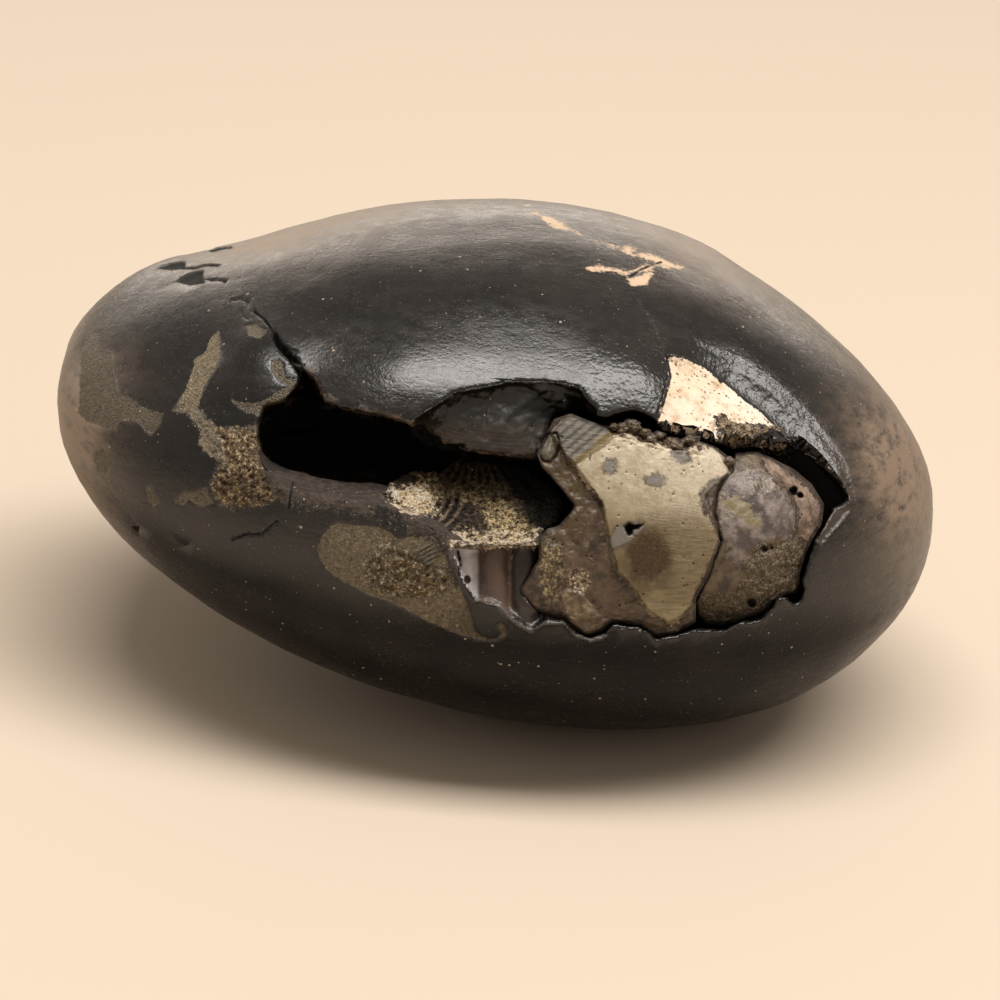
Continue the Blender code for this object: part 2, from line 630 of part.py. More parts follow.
def main():
    clear_scene()
    parts = new_collection(COLLECTION_NAME)
    cutters = new_collection("cutters")

    body = body_bmesh(BODY_SUBDIVISIONS)
    plain_surface = BVHTree.FromBMesh(body)
    swellings = [(plane_point(u, v), radius, height) for u, v, radius, height in RIM_RELIEF]
    for u, v, radius, height in FACE_RELIEF:
        centre = sight_point(u, v, surface_level(plain_surface, u, v))
        swellings.append((centre, radius, height))
    add_relief(body, swellings)
    surface = BVHTree.FromBMesh(body)
    matrix = standing_matrix(body)

    build_stone(surface, body, matrix, parts, cutters)
    build_cast_block("fossil_cast", CAST_MAIN, cast_main_recess, CAST_FINISH,
                     surface, matrix, parts, cutters)
    build_cast_block("fossil_cast_end", CAST_END, cast_end_recess, CAST_END_FINISH,
                     surface, matrix, parts, cutters)
    build_crust(surface, matrix, parts, cutters)


main()
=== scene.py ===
# Shaligram stone: a black river stone broken open over a pyrite-lined hollow and a fossil cast
import math

import bpy
import numpy as np
from mathutils import Matrix, Vector, noise
from mathutils.bvhtree import BVHTree


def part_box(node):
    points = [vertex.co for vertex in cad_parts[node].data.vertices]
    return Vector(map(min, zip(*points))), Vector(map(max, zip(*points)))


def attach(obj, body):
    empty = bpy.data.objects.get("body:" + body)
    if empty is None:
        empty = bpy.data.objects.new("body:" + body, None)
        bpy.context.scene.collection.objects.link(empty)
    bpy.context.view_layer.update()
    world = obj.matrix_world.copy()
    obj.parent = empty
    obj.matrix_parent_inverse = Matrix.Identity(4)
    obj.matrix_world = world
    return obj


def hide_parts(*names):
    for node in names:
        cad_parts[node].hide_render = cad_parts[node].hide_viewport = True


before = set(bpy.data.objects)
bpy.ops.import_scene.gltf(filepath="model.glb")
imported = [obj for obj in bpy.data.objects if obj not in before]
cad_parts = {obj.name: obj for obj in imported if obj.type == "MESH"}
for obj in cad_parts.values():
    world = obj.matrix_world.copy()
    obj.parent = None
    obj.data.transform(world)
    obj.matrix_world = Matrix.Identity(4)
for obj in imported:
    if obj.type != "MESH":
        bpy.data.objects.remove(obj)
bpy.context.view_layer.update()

# Pieces are made in the stone's own frame, in millimetres, with its middle at the origin.
# Outlines are (u, v): millimetres right and up on a plane square to the line of sight,
# carried onto the stone along lines to one eye point.
sight = {"angle": math.radians(24.0), "distance": 450.0, "drop": math.radians(6.0)}
rightWay = np.array((1.0, 0.0, 0.0))
upWay = np.array((0.0, math.sin(sight["angle"]), math.cos(sight["angle"])))
eyeWay = np.array((0.0, -math.cos(sight["angle"]), math.sin(sight["angle"])))
eyePoint = eyeWay * sight["distance"]


def pick(piece):
    bpy.ops.object.select_all(action="DESELECT")
    piece.select_set(True)
    bpy.context.view_layer.objects.active = piece


def joinTo(piece, parts):
    pick(piece)
    for part in parts:
        part.select_set(True)
    bpy.ops.object.join()


def getPoints(piece):
    points = np.empty(len(piece.data.vertices) * 3, np.float32)
    piece.data.vertices.foreach_get("co", points)
    return points.reshape(-1, 3).astype(float)


def setPoints(piece, points):
    piece.data.vertices.foreach_set("co", points.astype(np.float32).ravel())
    piece.data.update()


def getNormals(piece):
    normals = np.empty(len(piece.data.vertices) * 3, np.float32)
    piece.data.vertices.foreach_get("normal", normals)
    return normals.reshape(-1, 3).astype(float)


def applied(piece, kind, **values):
    pick(piece)
    modifier = piece.modifiers.new(kind.lower(), kind)
    for name, value in values.items():
        setattr(modifier, name, value)
    bpy.ops.object.modifier_apply(modifier=modifier.name)


def evenOut(piece, voxel, rounds=0):
    applied(piece, "REMESH", mode="VOXEL", voxel_size=voxel, adaptivity=0.0)
    if rounds:
        applied(piece, "SMOOTH", factor=0.5, iterations=rounds)


def toSight(points):
    level = points @ eyeWay
    share = (level / sight["distance"])[:, None]
    flat = (points - eyePoint * share) / (1.0 - share)
    return flat @ rightWay, flat @ upWay, level


def fromSight(u, v, level):
    share = (level / sight["distance"])[:, None]
    flat = u[:, None] * rightWay + v[:, None] * upWay
    return flat * (1.0 - share) + eyePoint * share


def ramp(value, start, end):
    share = np.clip((value - start) / (end - start), 0.0, 1.0)
    return share * share * (3.0 - 2.0 * share)


def lineDistance(line, u, v):       # distance to an open line, its sign by side
    best = np.full(len(u), 1e9)
    side = np.ones(len(u))
    for (u0, v0), (u1, v1) in zip(line, line[1:]):
        du, dv = u1 - u0, v1 - v0
        share = np.clip(((u - u0) * du + (v - v0) * dv) / (du * du + dv * dv), 0.0, 1.0)
        away = np.hypot(u - u0 - share * du, v - v0 - share * dv)
        nearer = away < best
        best = np.where(nearer, away, best)
        side = np.where(nearer, np.sign(du * (v - v0) - dv * (u - u0)), side)
    return best * np.where(side == 0.0, 1.0, side)


def insideBy(outline, u, v, reach=3.0):     # distance to a closed outline, positive inside
    places = np.array(outline)
    (lowU, lowV), (highU, highV) = places.min(axis=0) - reach, places.max(axis=0) + reach
    near = np.nonzero((u > lowU) & (u < highU) & (v > lowV) & (v < highV))[0]
    result = np.full(len(u), -reach)
    nu, nv = u[near], v[near]
    closed = list(outline) + [outline[0]]
    away = np.abs(lineDistance(closed, nu, nv))
    within = np.zeros(len(near), bool)
    for (u0, v0), (u1, v1) in zip(closed, closed[1:]):
        if v0 != v1:
            crossing = (v0 > nv) != (v1 > nv)
            within ^= crossing & (nu < u0 + (nv - v0) / (v1 - v0) * (u1 - u0))
    result[near] = np.maximum(np.where(within, away, -away), -reach)
    return result


def heightOn(line, u):
    return np.interp(u, [place[0] for place in line], [place[1] for place in line])


def grainAt(points, size, octaves=3, seed=0.0):     # fractal noise, about -1 to 1
    shift = Vector((seed * 7.3, seed * 3.1, seed * 5.7))
    return np.array([noise.fractal(Vector(p) / size + shift, 0.8, 2.0, octaves) for p in points])


def storeMask(piece, name, values):
    layer = piece.data.attributes.get(name) or piece.data.attributes.new(name, "FLOAT", "POINT")
    layer.data.foreach_set("value", values.astype(np.float32))


print("tools ready")


bodySet = {
    "halfLength": 45.65, "halfDepth": 34.0, "heightTop": 25.05, "heightBelow": 24.8,
    "endFullness": 0.85, "planFullness": 0.90, "sectionFullness": 0.94, "planTaper": 0.03,
    "topLean": 0.07, "topTaper": -0.29, "belowLean": 0.245, "belowTaper": -0.03,
    "spine": (1.25, -3.45, 1.4, -3.25), "shift": -0.35,
    "rimRelief": (      # u, v, radius, height
        (-36.5, 21.7, 7.0, 1.1), (-25.4, 24.3, 7.0, -1.0), (17.7, 25.2, 14.0, 0.7),
        (31.9, 16.8, 10.0, -0.5), (46.0, -5.2, 9.0, 0.7), (38.5, -20.3, 8.0, -1.0),
        (21.4, -27.9, 14.0, 0.4), (-18.5, -20.8, 8.0, -1.5), (-1.8, -26.7, 7.0, 0.5),
        (-38.5, -9.5, 9.0, 1.6), (-46.5, 4.5, 8.0, -1.3)),
    "faceRelief": (
        (-24.7, 11.3, 4.5, 1.2), (-9.7, 9.8, 6.0, 0.8), (14.0, 9.2, 5.5, 1.1),
        (21.9, 12.2, 4.5, -0.7), (26.1, 9.5, 4.5, -0.9), (30.3, 6.4, 4.5, -0.9),
        (34.0, 2.7, 4.5, -0.8), (-17.0, 17.5, 8.0, 0.5), (-4.0, 17.5, 8.0, 0.5),
        (9.0, 17.0, 8.0, 0.5)),
}


def bodyPoints(way):
    s = bodySet
    along = way[:, 0]
    ring = np.sqrt(np.maximum(0.0, 1.0 - along ** 2))
    safe = np.maximum(ring, 1e-6)
    across, rise = way[:, 1] / safe, way[:, 2] / safe
    top = s["heightTop"] * (1.0 + s["topLean"] * along + s["topTaper"] * along ** 2)
    below = s["heightBelow"] * (1.0 + s["belowLean"] * along + s["belowTaper"] * along ** 2)
    half = np.where(rise > 0.0, top, below)
    spine = sum(factor * along ** power for power, factor in enumerate(s["spine"]))
    plan = ring ** s["planFullness"] * (1.0 + s["planTaper"] * along)
    soft = s["sectionFullness"]
    return np.stack((
        s["halfLength"] * along + s["shift"],
        s["halfDepth"] * plan * np.sign(across) * np.abs(across) ** soft,
        half * ring ** s["endFullness"] * np.sign(rise) * np.abs(rise) ** soft + spine,
    ), axis=1)


def addBall(finer):
    bpy.ops.mesh.primitive_ico_sphere_add(subdivisions=finer, radius=1.0)
    return bpy.context.object


def surfaceTree(piece):
    return BVHTree.FromObject(piece, bpy.context.evaluated_depsgraph_get())


def surfacePoint(tree, u, v):
    flat = Vector(rightWay * u + upWay * v)
    hit = tree.ray_cast(Vector(eyePoint), flat - Vector(eyePoint))[0]
    return np.array(hit) if hit else np.array(flat)


def makeBody():
    body = addBall(7)
    body.name = "shaligramStone"
    way = getPoints(body)
    way /= np.linalg.norm(way, axis=1)[:, None]
    points = bodyPoints(way)
    setPoints(body, points)
    tree = surfaceTree(body)
    swells = [(rightWay * u + upWay * v, radius, height) for u, v, radius, height in bodySet["rimRelief"]]
    swells += [(surfacePoint(tree, u, v), radius, height) for u, v, radius, height in bodySet["faceRelief"]]
    lift = sum(height * np.exp(-(np.linalg.norm(points - middle, axis=1) / radius) ** 2)
               for middle, radius, height in swells)
    outward = points / np.linalg.norm(points, axis=1)[:, None]
    setPoints(body, points + outward * lift[:, None])
    return body


def standingMatrix(points):         # from the stone's own frame, in mm, to the CAD's, in m
    turn = Matrix.Rotation(-sight["drop"], 4, "Y")
    turned = points @ np.array(turn.to_3x3()).T
    low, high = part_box("stone")
    middle = (turned.min(axis=0) + turned.max(axis=0)) / 2.0
    move = Vector((
        (low.x + high.x) * 500.0 - middle[0],
        (low.y + high.y) * 500.0 - middle[1],
        high.z * 1000.0 - turned[:, 2].max(),
    ))
    return Matrix.Scale(0.001, 4) @ Matrix.Translation(move) @ turn


stone = makeBody()
standing = standingMatrix(getPoints(stone))
print("body shaped")


openingSet = {
    "edge": (       # clockwise from its left end; two more numbers give a slanted lip's inner edge
        (-25.2, 3.5), (-24.6, 6.2), (-22.4, 6.8), (-21.0, 8.5), (-20.3, 10.1), (-19.0, 8.8),
        (-18.1, 6.7), (-16.0, 6.0), (-12.3, 5.3), (-9.2, 4.4), (-6.8, 6.1, -7.2, 2.5),
        (-4.4, 7.7, -4.5, 1.7), (-1.5, 8.2, -2.0, 1.2), (1.0, 8.8, 1.2, 0.9), (5.1, 8.8, 4.2, 0.9),
        (7.4, 8.5, 5.0, 3.2), (8.8, 8.0, 5.8, 5.2), (9.5, 7.1, 8.4, 6.0), (11.2, 5.0), (13.0, 5.5),
        (14.5, 5.8), (16.3, 5.1), (17.2, 3.9), (19.0, 3.2), (21.4, 2.9), (22.9, 2.4), (26.1, 2.1),
        (28.8, 1.9), (31.4, 2.4), (33.4, 0.9), (35.2, -0.9), (36.6, -2.4), (36.9, -3.9), (35.3, -4.6),
        (34.6, -6.0), (33.7, -7.5), (33.3, -9.0), (32.7, -10.4), (32.2, -12.0), (32.3, -13.4),
        (32.0, -14.4), (31.1, -14.6), (30.6, -13.8), (29.6, -14.0), (28.7, -15.3), (27.6, -16.3),
        (25.4, -16.5), (24.2, -17.3), (21.0, -17.2), (18.8, -17.9), (16.8, -18.3), (15.2, -17.0),
        (12.2, -16.7), (11.3, -17.7), (9.8, -18.1), (8.4, -17.7), (7.2, -16.4), (5.3, -16.2),
        (3.6, -17.2), (1.8, -15.8), (0.3, -14.8), (-2.0, -14.2), (-3.0, -12.9), (-4.4, -9.9),
        (-5.0, -8.5), (-6.0, -6.8), (-8.1, -5.8), (-10.7, -4.6), (-12.8, -3.9), (-16.5, -3.6),
        (-19.7, -3.0), (-21.8, -2.5), (-23.4, -1.7), (-24.6, -0.2), (-25.2, 1.5)),
    "floorEdge": (
        (-25.2, 1.5), (-24.6, -0.2), (-23.4, -1.7), (-21.8, -2.5), (-16.5, -3.6), (-12.8, -3.9),
        (-8.1, -5.8), (-5.0, -8.5), (4.5, -8.5)),
    "wobble": 0.16, "wobbleSize": 0.8, "wallWidth": 0.25,
    "lipDepth": 4.0, "rollDepth": 1.1, "floorSlope": 2.2, "deepest": 12.0,
    "ribFoot": 1.6, "ribFootHeight": -15.0, "ribSlope": 0.36,
    "ribs": ((-3.5, 1.25), (-0.25, 1.5), (3.1, 1.6)), "ribBulge": 1.1,
    "seatLevel": 15.3, "seatMargin": 0.12, "crustMargin": 0.12,
    "strata": 0.12, "strataPitch": 0.62, "strataReach": 3.2,
    "cave": (-9.0, 3.5), "caveDepth": 13.5, "caveHalf": (16.5, 10.5, 8.5), "caveRough": 0.09,
    "rimEnd": 5.5, "rimFoot": 0.4, "columnTop": -7.8, "columns": (-5.6, 5.2), "shelfTop": -0.5,
    "shelf": (-24.5, -4.0), "shelfWidth": 2.6, "brimFoot": -8.75, "brim": (-5.0, 4.9),
    "slantZone": ((-9.6, 2.0), (-7.2, 8.5), (0.0, 11.0), (10.5, 10.0), (10.5, 5.5), (5.0, -1.0)),
    "voxel": 0.26,
}
castMainEdge = (
    (6.2, 4.6), (7.8, 5.1), (9.8, 4.3), (11.5, 3.9), (13.3, 3.5), (15.1, 3.6), (17.2, 2.8),
    (20.3, 2.5), (22.7, 1.8), (24.0, 0.8), (24.5, -0.5), (23.4, -1.5), (22.9, -2.8), (22.6, -4.9),
    (23.1, -6.6), (23.4, -7.9), (22.8, -9.1), (21.9, -11.6), (20.6, -13.9), (20.6, -16.3),
    (18.8, -17.3), (16.8, -17.7), (15.1, -16.5), (12.1, -16.1), (11.1, -17.1), (9.8, -17.5),
    (8.5, -17.1), (7.3, -15.8), (5.6, -15.5), (3.8, -14.6), (2.7, -13.1), (3.8, -11.5), (4.7, -9.9),
    (4.7, -7.8), (5.4, -6.9), (6.7, -6.6), (8.0, -5.2), (8.5, -4.2), (7.5, -2.8), (6.2, -1.3),
    (4.9, 0.1), (4.5, 1.2), (5.3, 2.7))
castEndEdge = (
    (25.3, 1.0), (27.2, 1.2), (29.1, 0.3), (31.1, -0.7), (32.9, -2.2), (34.1, -4.2), (33.8, -6.2),
    (32.9, -7.6), (32.2, -9.1), (31.6, -11.1), (31.4, -13.1), (30.1, -13.3), (28.9, -14.1),
    (27.9, -15.3), (26.1, -15.7), (24.1, -16.4), (22.3, -16.4), (21.4, -15.6), (21.3, -14.2),
    (22.5, -11.8), (23.4, -9.3), (24.0, -7.9), (23.6, -6.6), (23.2, -5.0), (23.5, -3.0), (24.0, -1.8),
    (25.0, -0.8))
crustEdge = (
    (-12.0, -3.5), (-11.0, -2.0), (-8.9, -0.8), (-6.0, -1.1), (-4.4, 0.2), (0.3, 0.2), (3.6, -0.7),
    (5.3, -2.2), (6.5, -3.7), (6.9, -4.6), (5.8, -5.9), (4.3, -6.8), (3.9, -8.1), (0.0, -8.4),
    (-3.0, -8.2), (-4.3, -7.5), (-5.6, -6.2), (-8.0, -5.1), (-10.3, -4.0))
crustSet = {
    "edgeDepth": 2.5, "slope": 1.2, "thickness": 1.9, "sink": 0.1,
    "whorl": (-9.0, -3.2), "pitch": 0.9, "ridge": 0.3, "whorlFrom": 2.3, "whorlTo": 6.6,
}
facetSpan = (-9.0, 9.5)     # where the mouth's upper edge is a slanted, broken face
outerEdge = [place[:2] for place in openingSet["edge"]]
innerEdge = [place[-2:] for place in openingSet["edge"]]


def whorlRidges(u, v):      # rings round the shell's print, shared by crust and shelf
    s = crustSet
    away = np.hypot(u - s["whorl"][0], (v - s["whorl"][1]) * 1.2)
    fade = ramp(away, s["whorlFrom"] - 0.4, s["whorlFrom"] + 0.4)
    fade *= (1.0 - ramp(away, s["whorlTo"] - 1.0, s["whorlTo"])) * ramp(u, -10.0, -8.4)
    turn = away / s["pitch"] + 0.15 * np.sin(u * 0.9)
    return s["ridge"] * (1.0 - 2.0 * np.abs(turn - np.round(turn)) * 2.0) * fade


def crustDepth(u, v):       # depth of the crust's top below the stone's skin
    s = crustSet
    above = np.maximum(0.0, v - heightOn(openingSet["floorEdge"], u))
    return s["edgeDepth"] + s["slope"] * above - whorlRidges(u, v)


def openingDepth(u, v, level):
    s = openingSet
    outer = insideBy(outerEdge, u, v)
    inner = insideBy(innerEdge, u, v)
    above = v - heightOn(s["floorEdge"], u)
    floor = s["rollDepth"] * ramp(above, -0.3, 0.9) + s["floorSlope"] * np.maximum(above, 0.0)
    beds = above / s["strataPitch"] + 0.25 * np.sin(u * 0.7)
    shelf = ramp(above, 0.1, 0.5) * (1.0 - ramp(above, s["strataReach"] - 1.0, s["strataReach"]))
    floor -= s["strata"] * (1.0 - 4.0 * np.abs(beds - np.round(beds))) * shelf
    floor -= 0.8 * whorlRidges(u, v)
    floor = np.minimum(floor, s["deepest"])
    foot = s["ribFoot"] + s["ribSlope"] * np.maximum(v - s["ribFootHeight"], 0.0)
    for middle, half in s["ribs"]:
        across = np.clip(np.abs(u - middle) / half, 0.0, 1.0)
        foot = foot - s["ribBulge"] * np.sqrt(1.0 - across ** 2)
    floor = np.where((above < 0.0) & (u > -5.0), foot + 0.4, floor)
    crust = crustDepth(u, v) + crustSet["thickness"] - crustSet["sink"]
    floor = np.where(insideBy(crustEdge, u, v) > s["crustMargin"], np.maximum(floor, crust), floor)
    nearCast = np.maximum(insideBy(castMainEdge, u, v), insideBy(castEndEdge, u, v))
    seat = (nearCast > -s["seatMargin"]) | (u > 9.0)
    floor = np.where(seat, np.maximum(level - s["seatLevel"], 2.0), floor)
    wall = ramp(inner, -0.02, s["wallWidth"])
    slant = s["lipDepth"] * np.clip(outer / np.maximum(outer - inner, 1e-3), 0.0, 1.0) ** 0.7
    slant = np.where((inner < 0.0) & (outer > 0.0), slant, np.where(inner >= 0.0, s["lipDepth"], 0.0))
    start = np.where(insideBy(s["slantZone"], u, v) > 0.0, slant, 0.0)
    return np.where(outer > 0.0, start * (1.0 - wall) + np.maximum(floor, start) * wall, 0.0)


def selectByMask(piece, chosen):
    bpy.context.tool_settings.mesh_select_mode = (False, False, True)
    pick(piece)
    corner = np.empty(len(piece.data.loops), np.int32)
    piece.data.loops.foreach_get("vertex_index", corner)
    faces = chosen[corner.reshape(-1, 3)].any(axis=1)
    piece.data.vertices.foreach_set("select", np.zeros(len(piece.data.vertices), bool))
    piece.data.edges.foreach_set("select", np.zeros(len(piece.data.edges), bool))
    piece.data.polygons.foreach_set("select", faces)


def densify(piece, chosen, cuts):       # finer faces where the detail is
    selectByMask(piece, chosen)
    bpy.ops.object.mode_set(mode="EDIT")
    bpy.ops.mesh.subdivide(number_cuts=cuts)
    bpy.ops.mesh.quads_convert_to_tris()
    bpy.ops.object.mode_set(mode="OBJECT")


def standOnFloor(points):       # presses what is below the floor plane up to it
    turn = np.array(standing)
    world = points @ turn[:3, :3].T + turn[:3, 3]
    world[:, 2] = np.maximum(world[:, 2], 0.0)
    back = np.array(standing.inverted())
    return world @ back[:3, :3].T + back[:3, 3]


def openStone(piece):
    s = openingSet
    u, v, level = toSight(getPoints(piece))
    facing = (getNormals(piece) @ eyeWay) > 0.0
    densify(piece, facing & (insideBy(outerEdge, u, v) > -1.0), 3)
    points = getPoints(piece)
    u, v, level = toSight(points)
    facing = (getNormals(piece) @ eyeWay) > 0.0
    near = np.nonzero(facing & (insideBy(outerEdge, u, v) > -1.0))[0]
    size = s["wobbleSize"]
    wobbleU = grainAt(points[near], size, 2, 1.0) * s["wobble"]
    wobbleV = grainAt(points[near], size, 2, 2.0) * s["wobble"]
    depth = openingDepth(u[near] + wobbleU, v[near] + wobbleV, level[near])
    points[near] = fromSight(u[near], v[near], level[near] - depth)
    setPoints(piece, standOnFloor(points))
    cave = addBall(5)
    ball = getPoints(cave)
    ball *= 1.0 + s["caveRough"] * grainAt(ball, 0.4, 3, 3.0)[:, None]
    across, deep, tall = s["caveHalf"]
    middle = surfacePoint(surfaceTree(bodyCopy), *s["cave"]) - eyeWay * s["caveDepth"]
    shaped = ball[:, 0:1] * across * rightWay - ball[:, 1:2] * deep * eyeWay + ball[:, 2:3] * tall * upWay
    setPoints(cave, middle + shaped)
    applied(piece, "BOOLEAN", operation="DIFFERENCE", solver="MANIFOLD", object=cave)
    bpy.data.objects.remove(cave, do_unlink=True)
    evenOut(piece, s["voxel"], 3)


bodyCopy = stone.copy()
bodyCopy.data = stone.data.copy()
bpy.context.scene.collection.objects.link(bodyCopy)
skin = surfaceTree(bodyCopy)
openStone(stone)
print("stone opened", len(stone.data.vertices))


# Marks on the skin: outlines and lines, in (u, v).
pyriteMarks = (
    ((-29.3, 14.2), (-29.0, 12.8), (-29.1, 11.4), (-29.5, 10.4), (-30.5, 8.7), (-31.1, 7.3),
     (-31.7, 6.1), (-32.2, 5.5), (-34.2, 5.7), (-33.5, 6.7), (-32.6, 8.4), (-32.0, 9.8),
     (-31.7, 11.2), (-30.7, 11.8), (-30.2, 13.1)),
    ((-26.4, 14.7), (-25.8, 14.9), (-24.7, 14.5), (-24.2, 14.2), (-24.7, 13.6), (-25.2, 13.4),
     (-26.2, 13.8)),
    ((-23.8, 11.0), (-23.0, 11.2), (-22.5, 10.7), (-22.4, 9.8), (-22.0, 9.1), (-21.1, 9.1),
     (-21.2, 8.4), (-22.0, 8.3), (-22.5, 8.7), (-23.1, 8.9), (-23.5, 9.6), (-23.8, 10.4)),
    ((-21.3, 8.2), (-22.2, 7.3), (-22.5, 6.6), (-22.9, 5.6), (-24.9, 5.4), (-26.4, 5.5), (-27.7, 6.6),
     (-28.0, 7.1), (-27.0, 6.7), (-25.7, 6.6), (-24.7, 6.8), (-23.4, 7.4), (-22.7, 8.1)),
    ((-30.3, -2.1), (-30.3, -3.1), (-29.8, -3.9), (-31.0, -4.4), (-31.7, -4.2), (-32.3, -3.6),
     (-32.9, -4.2), (-33.8, -4.1), (-33.9, -3.6), (-33.0, -2.7), (-32.2, -2.8), (-31.2, -2.6)),
    ((-43.8, 9.5), (-43.6, 12.5), (-42.7, 14.1), (-41.8, 14.2), (-41.8, 12.3), (-40.5, 11.9),
     (-40.4, 9.5), (-39.9, 7.8), (-38.1, 6.8), (-36.7, 5.9), (-35.2, 5.5), (-35.3, 4.4), (-36.4, 3.0),
     (-37.8, 4.6), (-39.7, 4.7), (-40.2, 3.7), (-41.5, 4.1), (-42.9, 4.6), (-44.0, 5.4),
     (-43.9, 7.8)),
    ((-42.2, 1.6), (-41.3, 1.8), (-40.5, 0.3), (-41.0, -0.9), (-41.9, -0.5), (-42.4, 0.6)),
    ((-37.0, -2.0), (-36.4, -2.1), (-36.0, -3.0), (-35.5, -3.8), (-36.2, -4.5), (-36.9, -2.9)),
    ((-17.4, -6.2), (-16.8, -5.9), (-15.1, -6.3), (-12.6, -6.5), (-11.4, -7.0), (-10.6, -7.8),
     (-9.3, -7.6), (-7.9, -7.0), (-6.0, -7.6), (-5.1, -8.7), (-5.3, -9.7), (-4.5, -11.4),
     (-3.9, -12.8), (-3.1, -14.5), (-2.7, -15.9), (-2.3, -17.4), (-1.2, -18.2), (0.0, -18.2),
     (0.5, -17.4), (0.0, -16.8), (0.5, -16.6), (1.1, -17.2), (0.9, -18.1), (-0.4, -18.5),
     (-2.1, -18.3), (-4.1, -17.7), (-7.2, -16.4), (-9.3, -15.3), (-11.4, -14.3), (-13.4, -13.6),
     (-15.1, -12.8), (-16.6, -11.9), (-17.9, -11.0), (-18.8, -9.7), (-18.9, -8.7), (-18.3, -7.4)),
)
giltMarks = (
    ((-32.2, 6.1), (-30.5, 4.9), (-29.2, 3.9), (-27.4, 3.8), (-26.4, 4.1), (-25.7, 3.6), (-24.6, 2.4),
     (-25.0, 1.1), (-25.0, 0.0), (-24.2, -1.0), (-23.0, -2.0), (-22.4, -2.9), (-23.1, -3.4),
     (-24.9, -4.4), (-27.0, -4.5), (-28.9, -3.9), (-29.7, -3.1), (-30.3, -2.5), (-29.8, -1.1),
     (-29.4, 0.1), (-30.0, 0.8), (-30.7, 1.6), (-31.2, 2.9), (-31.8, 4.4), (-32.3, 5.4)),
    ((-13.4, -9.7), (-11.9, -8.9), (-10.2, -8.7), (-8.7, -9.7), (-6.6, -11.0), (-5.1, -11.7),
     (-5.1, -13.4), (-7.2, -13.8), (-9.3, -14.1), (-11.4, -13.6), (-13.0, -12.2), (-13.9, -11.0)),
)
shellPiece = ((-8.9, -9.1), (-6.0, -7.4), (-5.1, -8.7), (-7.2, -10.8), (-8.3, -9.9))
calciteMark = (
    (17.9, 11.7), (20.0, 11.2), (22.1, 10.2), (24.6, 8.2), (26.3, 6.7), (27.8, 5.7), (29.1, 4.3),
    (27.3, 4.4), (26.0, 4.6), (24.6, 4.9), (23.6, 5.5), (23.0, 5.1), (23.3, 3.9), (22.9, 2.3),
    (21.5, 2.6), (19.7, 2.4), (17.3, 3.3), (16.9, 4.4), (17.6, 6.7), (18.3, 9.3))
crumblyMark = (
    (23.6, 5.7), (24.6, 5.1), (26.0, 4.8), (27.0, 4.4), (28.8, 4.3), (29.1, 2.7), (30.6, 2.2),
    (31.5, 1.6), (28.8, 0.9), (27.0, 2.2), (25.1, 1.5), (24.2, 1.8), (23.3, 3.3), (23.2, 4.8))
bossMark = (
    (9.8, 12.2), (12.5, 13.4), (15.1, 13.7), (17.6, 12.7), (18.3, 11.1), (18.3, 8.5), (17.6, 6.1),
    (17.0, 4.7), (15.1, 5.6), (13.2, 5.5), (11.3, 4.8), (9.8, 6.7), (9.2, 9.5))
stripMark = (
    (18.0, 13.4), (21.4, 13.0), (25.6, 11.3), (29.8, 8.5), (33.5, 4.8), (36.7, 0.6), (37.8, -3.6),
    (36.8, -3.6), (34.9, -0.9), (31.5, 2.1), (29.0, 4.4), (26.3, 6.7), (24.6, 8.2), (22.1, 10.2),
    (20.0, 11.2), (17.9, 11.9))
glossMark = (
    (-16.5, 11.9), (-12.3, 12.7), (-7.0, 12.4), (-2.8, 11.1), (-1.8, 9.2), (-4.9, 8.2), (-7.0, 6.1),
    (-10.2, 6.4), (-13.3, 7.4), (-15.7, 9.2))
fleckMark = ((27.4, 12.2), (28.6, 12.7), (30.2, 12.9), (29.6, 12.2), (28.3, 11.7))
veinPatch = ((13.3, 19.7), (15.1, 20.4), (16.8, 20.8), (16.6, 19.5), (15.7, 18.6), (14.2, 18.5))
veinLines = (       # line, half width
    (((3.1, 27.2), (5.8, 25.6), (8.5, 24.8), (11.5, 23.4), (14.6, 22.4), (17.3, 21.4), (20.5, 20.6)), 0.32),
    (((9.1, 21.1), (11.8, 20.6), (13.9, 20.3), (16.0, 20.9), (17.3, 21.4)), 0.22),
    (((-18.6, 11.0), (-17.5, 11.9), (-16.5, 13.3)), 0.16),
)
crackLines = (      # line, half width, depth
    (((-25.6, 16.3), (-24.4, 15.4), (-23.7, 14.4), (-23.2, 13.3)), 0.2, 0.5),
    (((-23.4, 13.7), (-22.8, 12.7), (-21.8, 11.6), (-20.9, 10.4), (-20.3, 9.2)), 0.5, 1.7),
    (((-22.8, 12.9), (-21.8, 12.3), (-21.0, 12.0)), 0.14, 0.25),
    (((17.9, 11.6), (20.0, 11.3), (22.1, 10.3), (24.6, 8.3), (26.3, 6.8), (27.8, 5.8), (29.1, 4.4)),
     0.13, 0.3),
    (((17.9, 11.6), (18.3, 9.3), (17.6, 6.7), (16.9, 4.6)), 0.12, 0.25),
    (((-27.9, -7.9), (-26.5, -7.3), (-24.7, -7.2), (-23.7, -6.3), (-23.0, -5.8)), 0.11, 0.22),
    (((-4.1, -9.0), (-3.8, -10.3), (-3.95, -11.6)), 0.13, 0.45),
    (((-21.4, -1.7), (-21.7, -3.0), (-21.9, -4.7)), 0.12, 0.25),
    (((14.1, 19.9), (15.1, 20.6), (16.1, 21.0), (17.3, 21.4)), 0.12, 0.2),
    (((14.9, 17.8), (15.7, 16.4), (16.3, 15.4), (17.0, 14.0), (17.7, 12.6)), 0.05, 0.1),
)
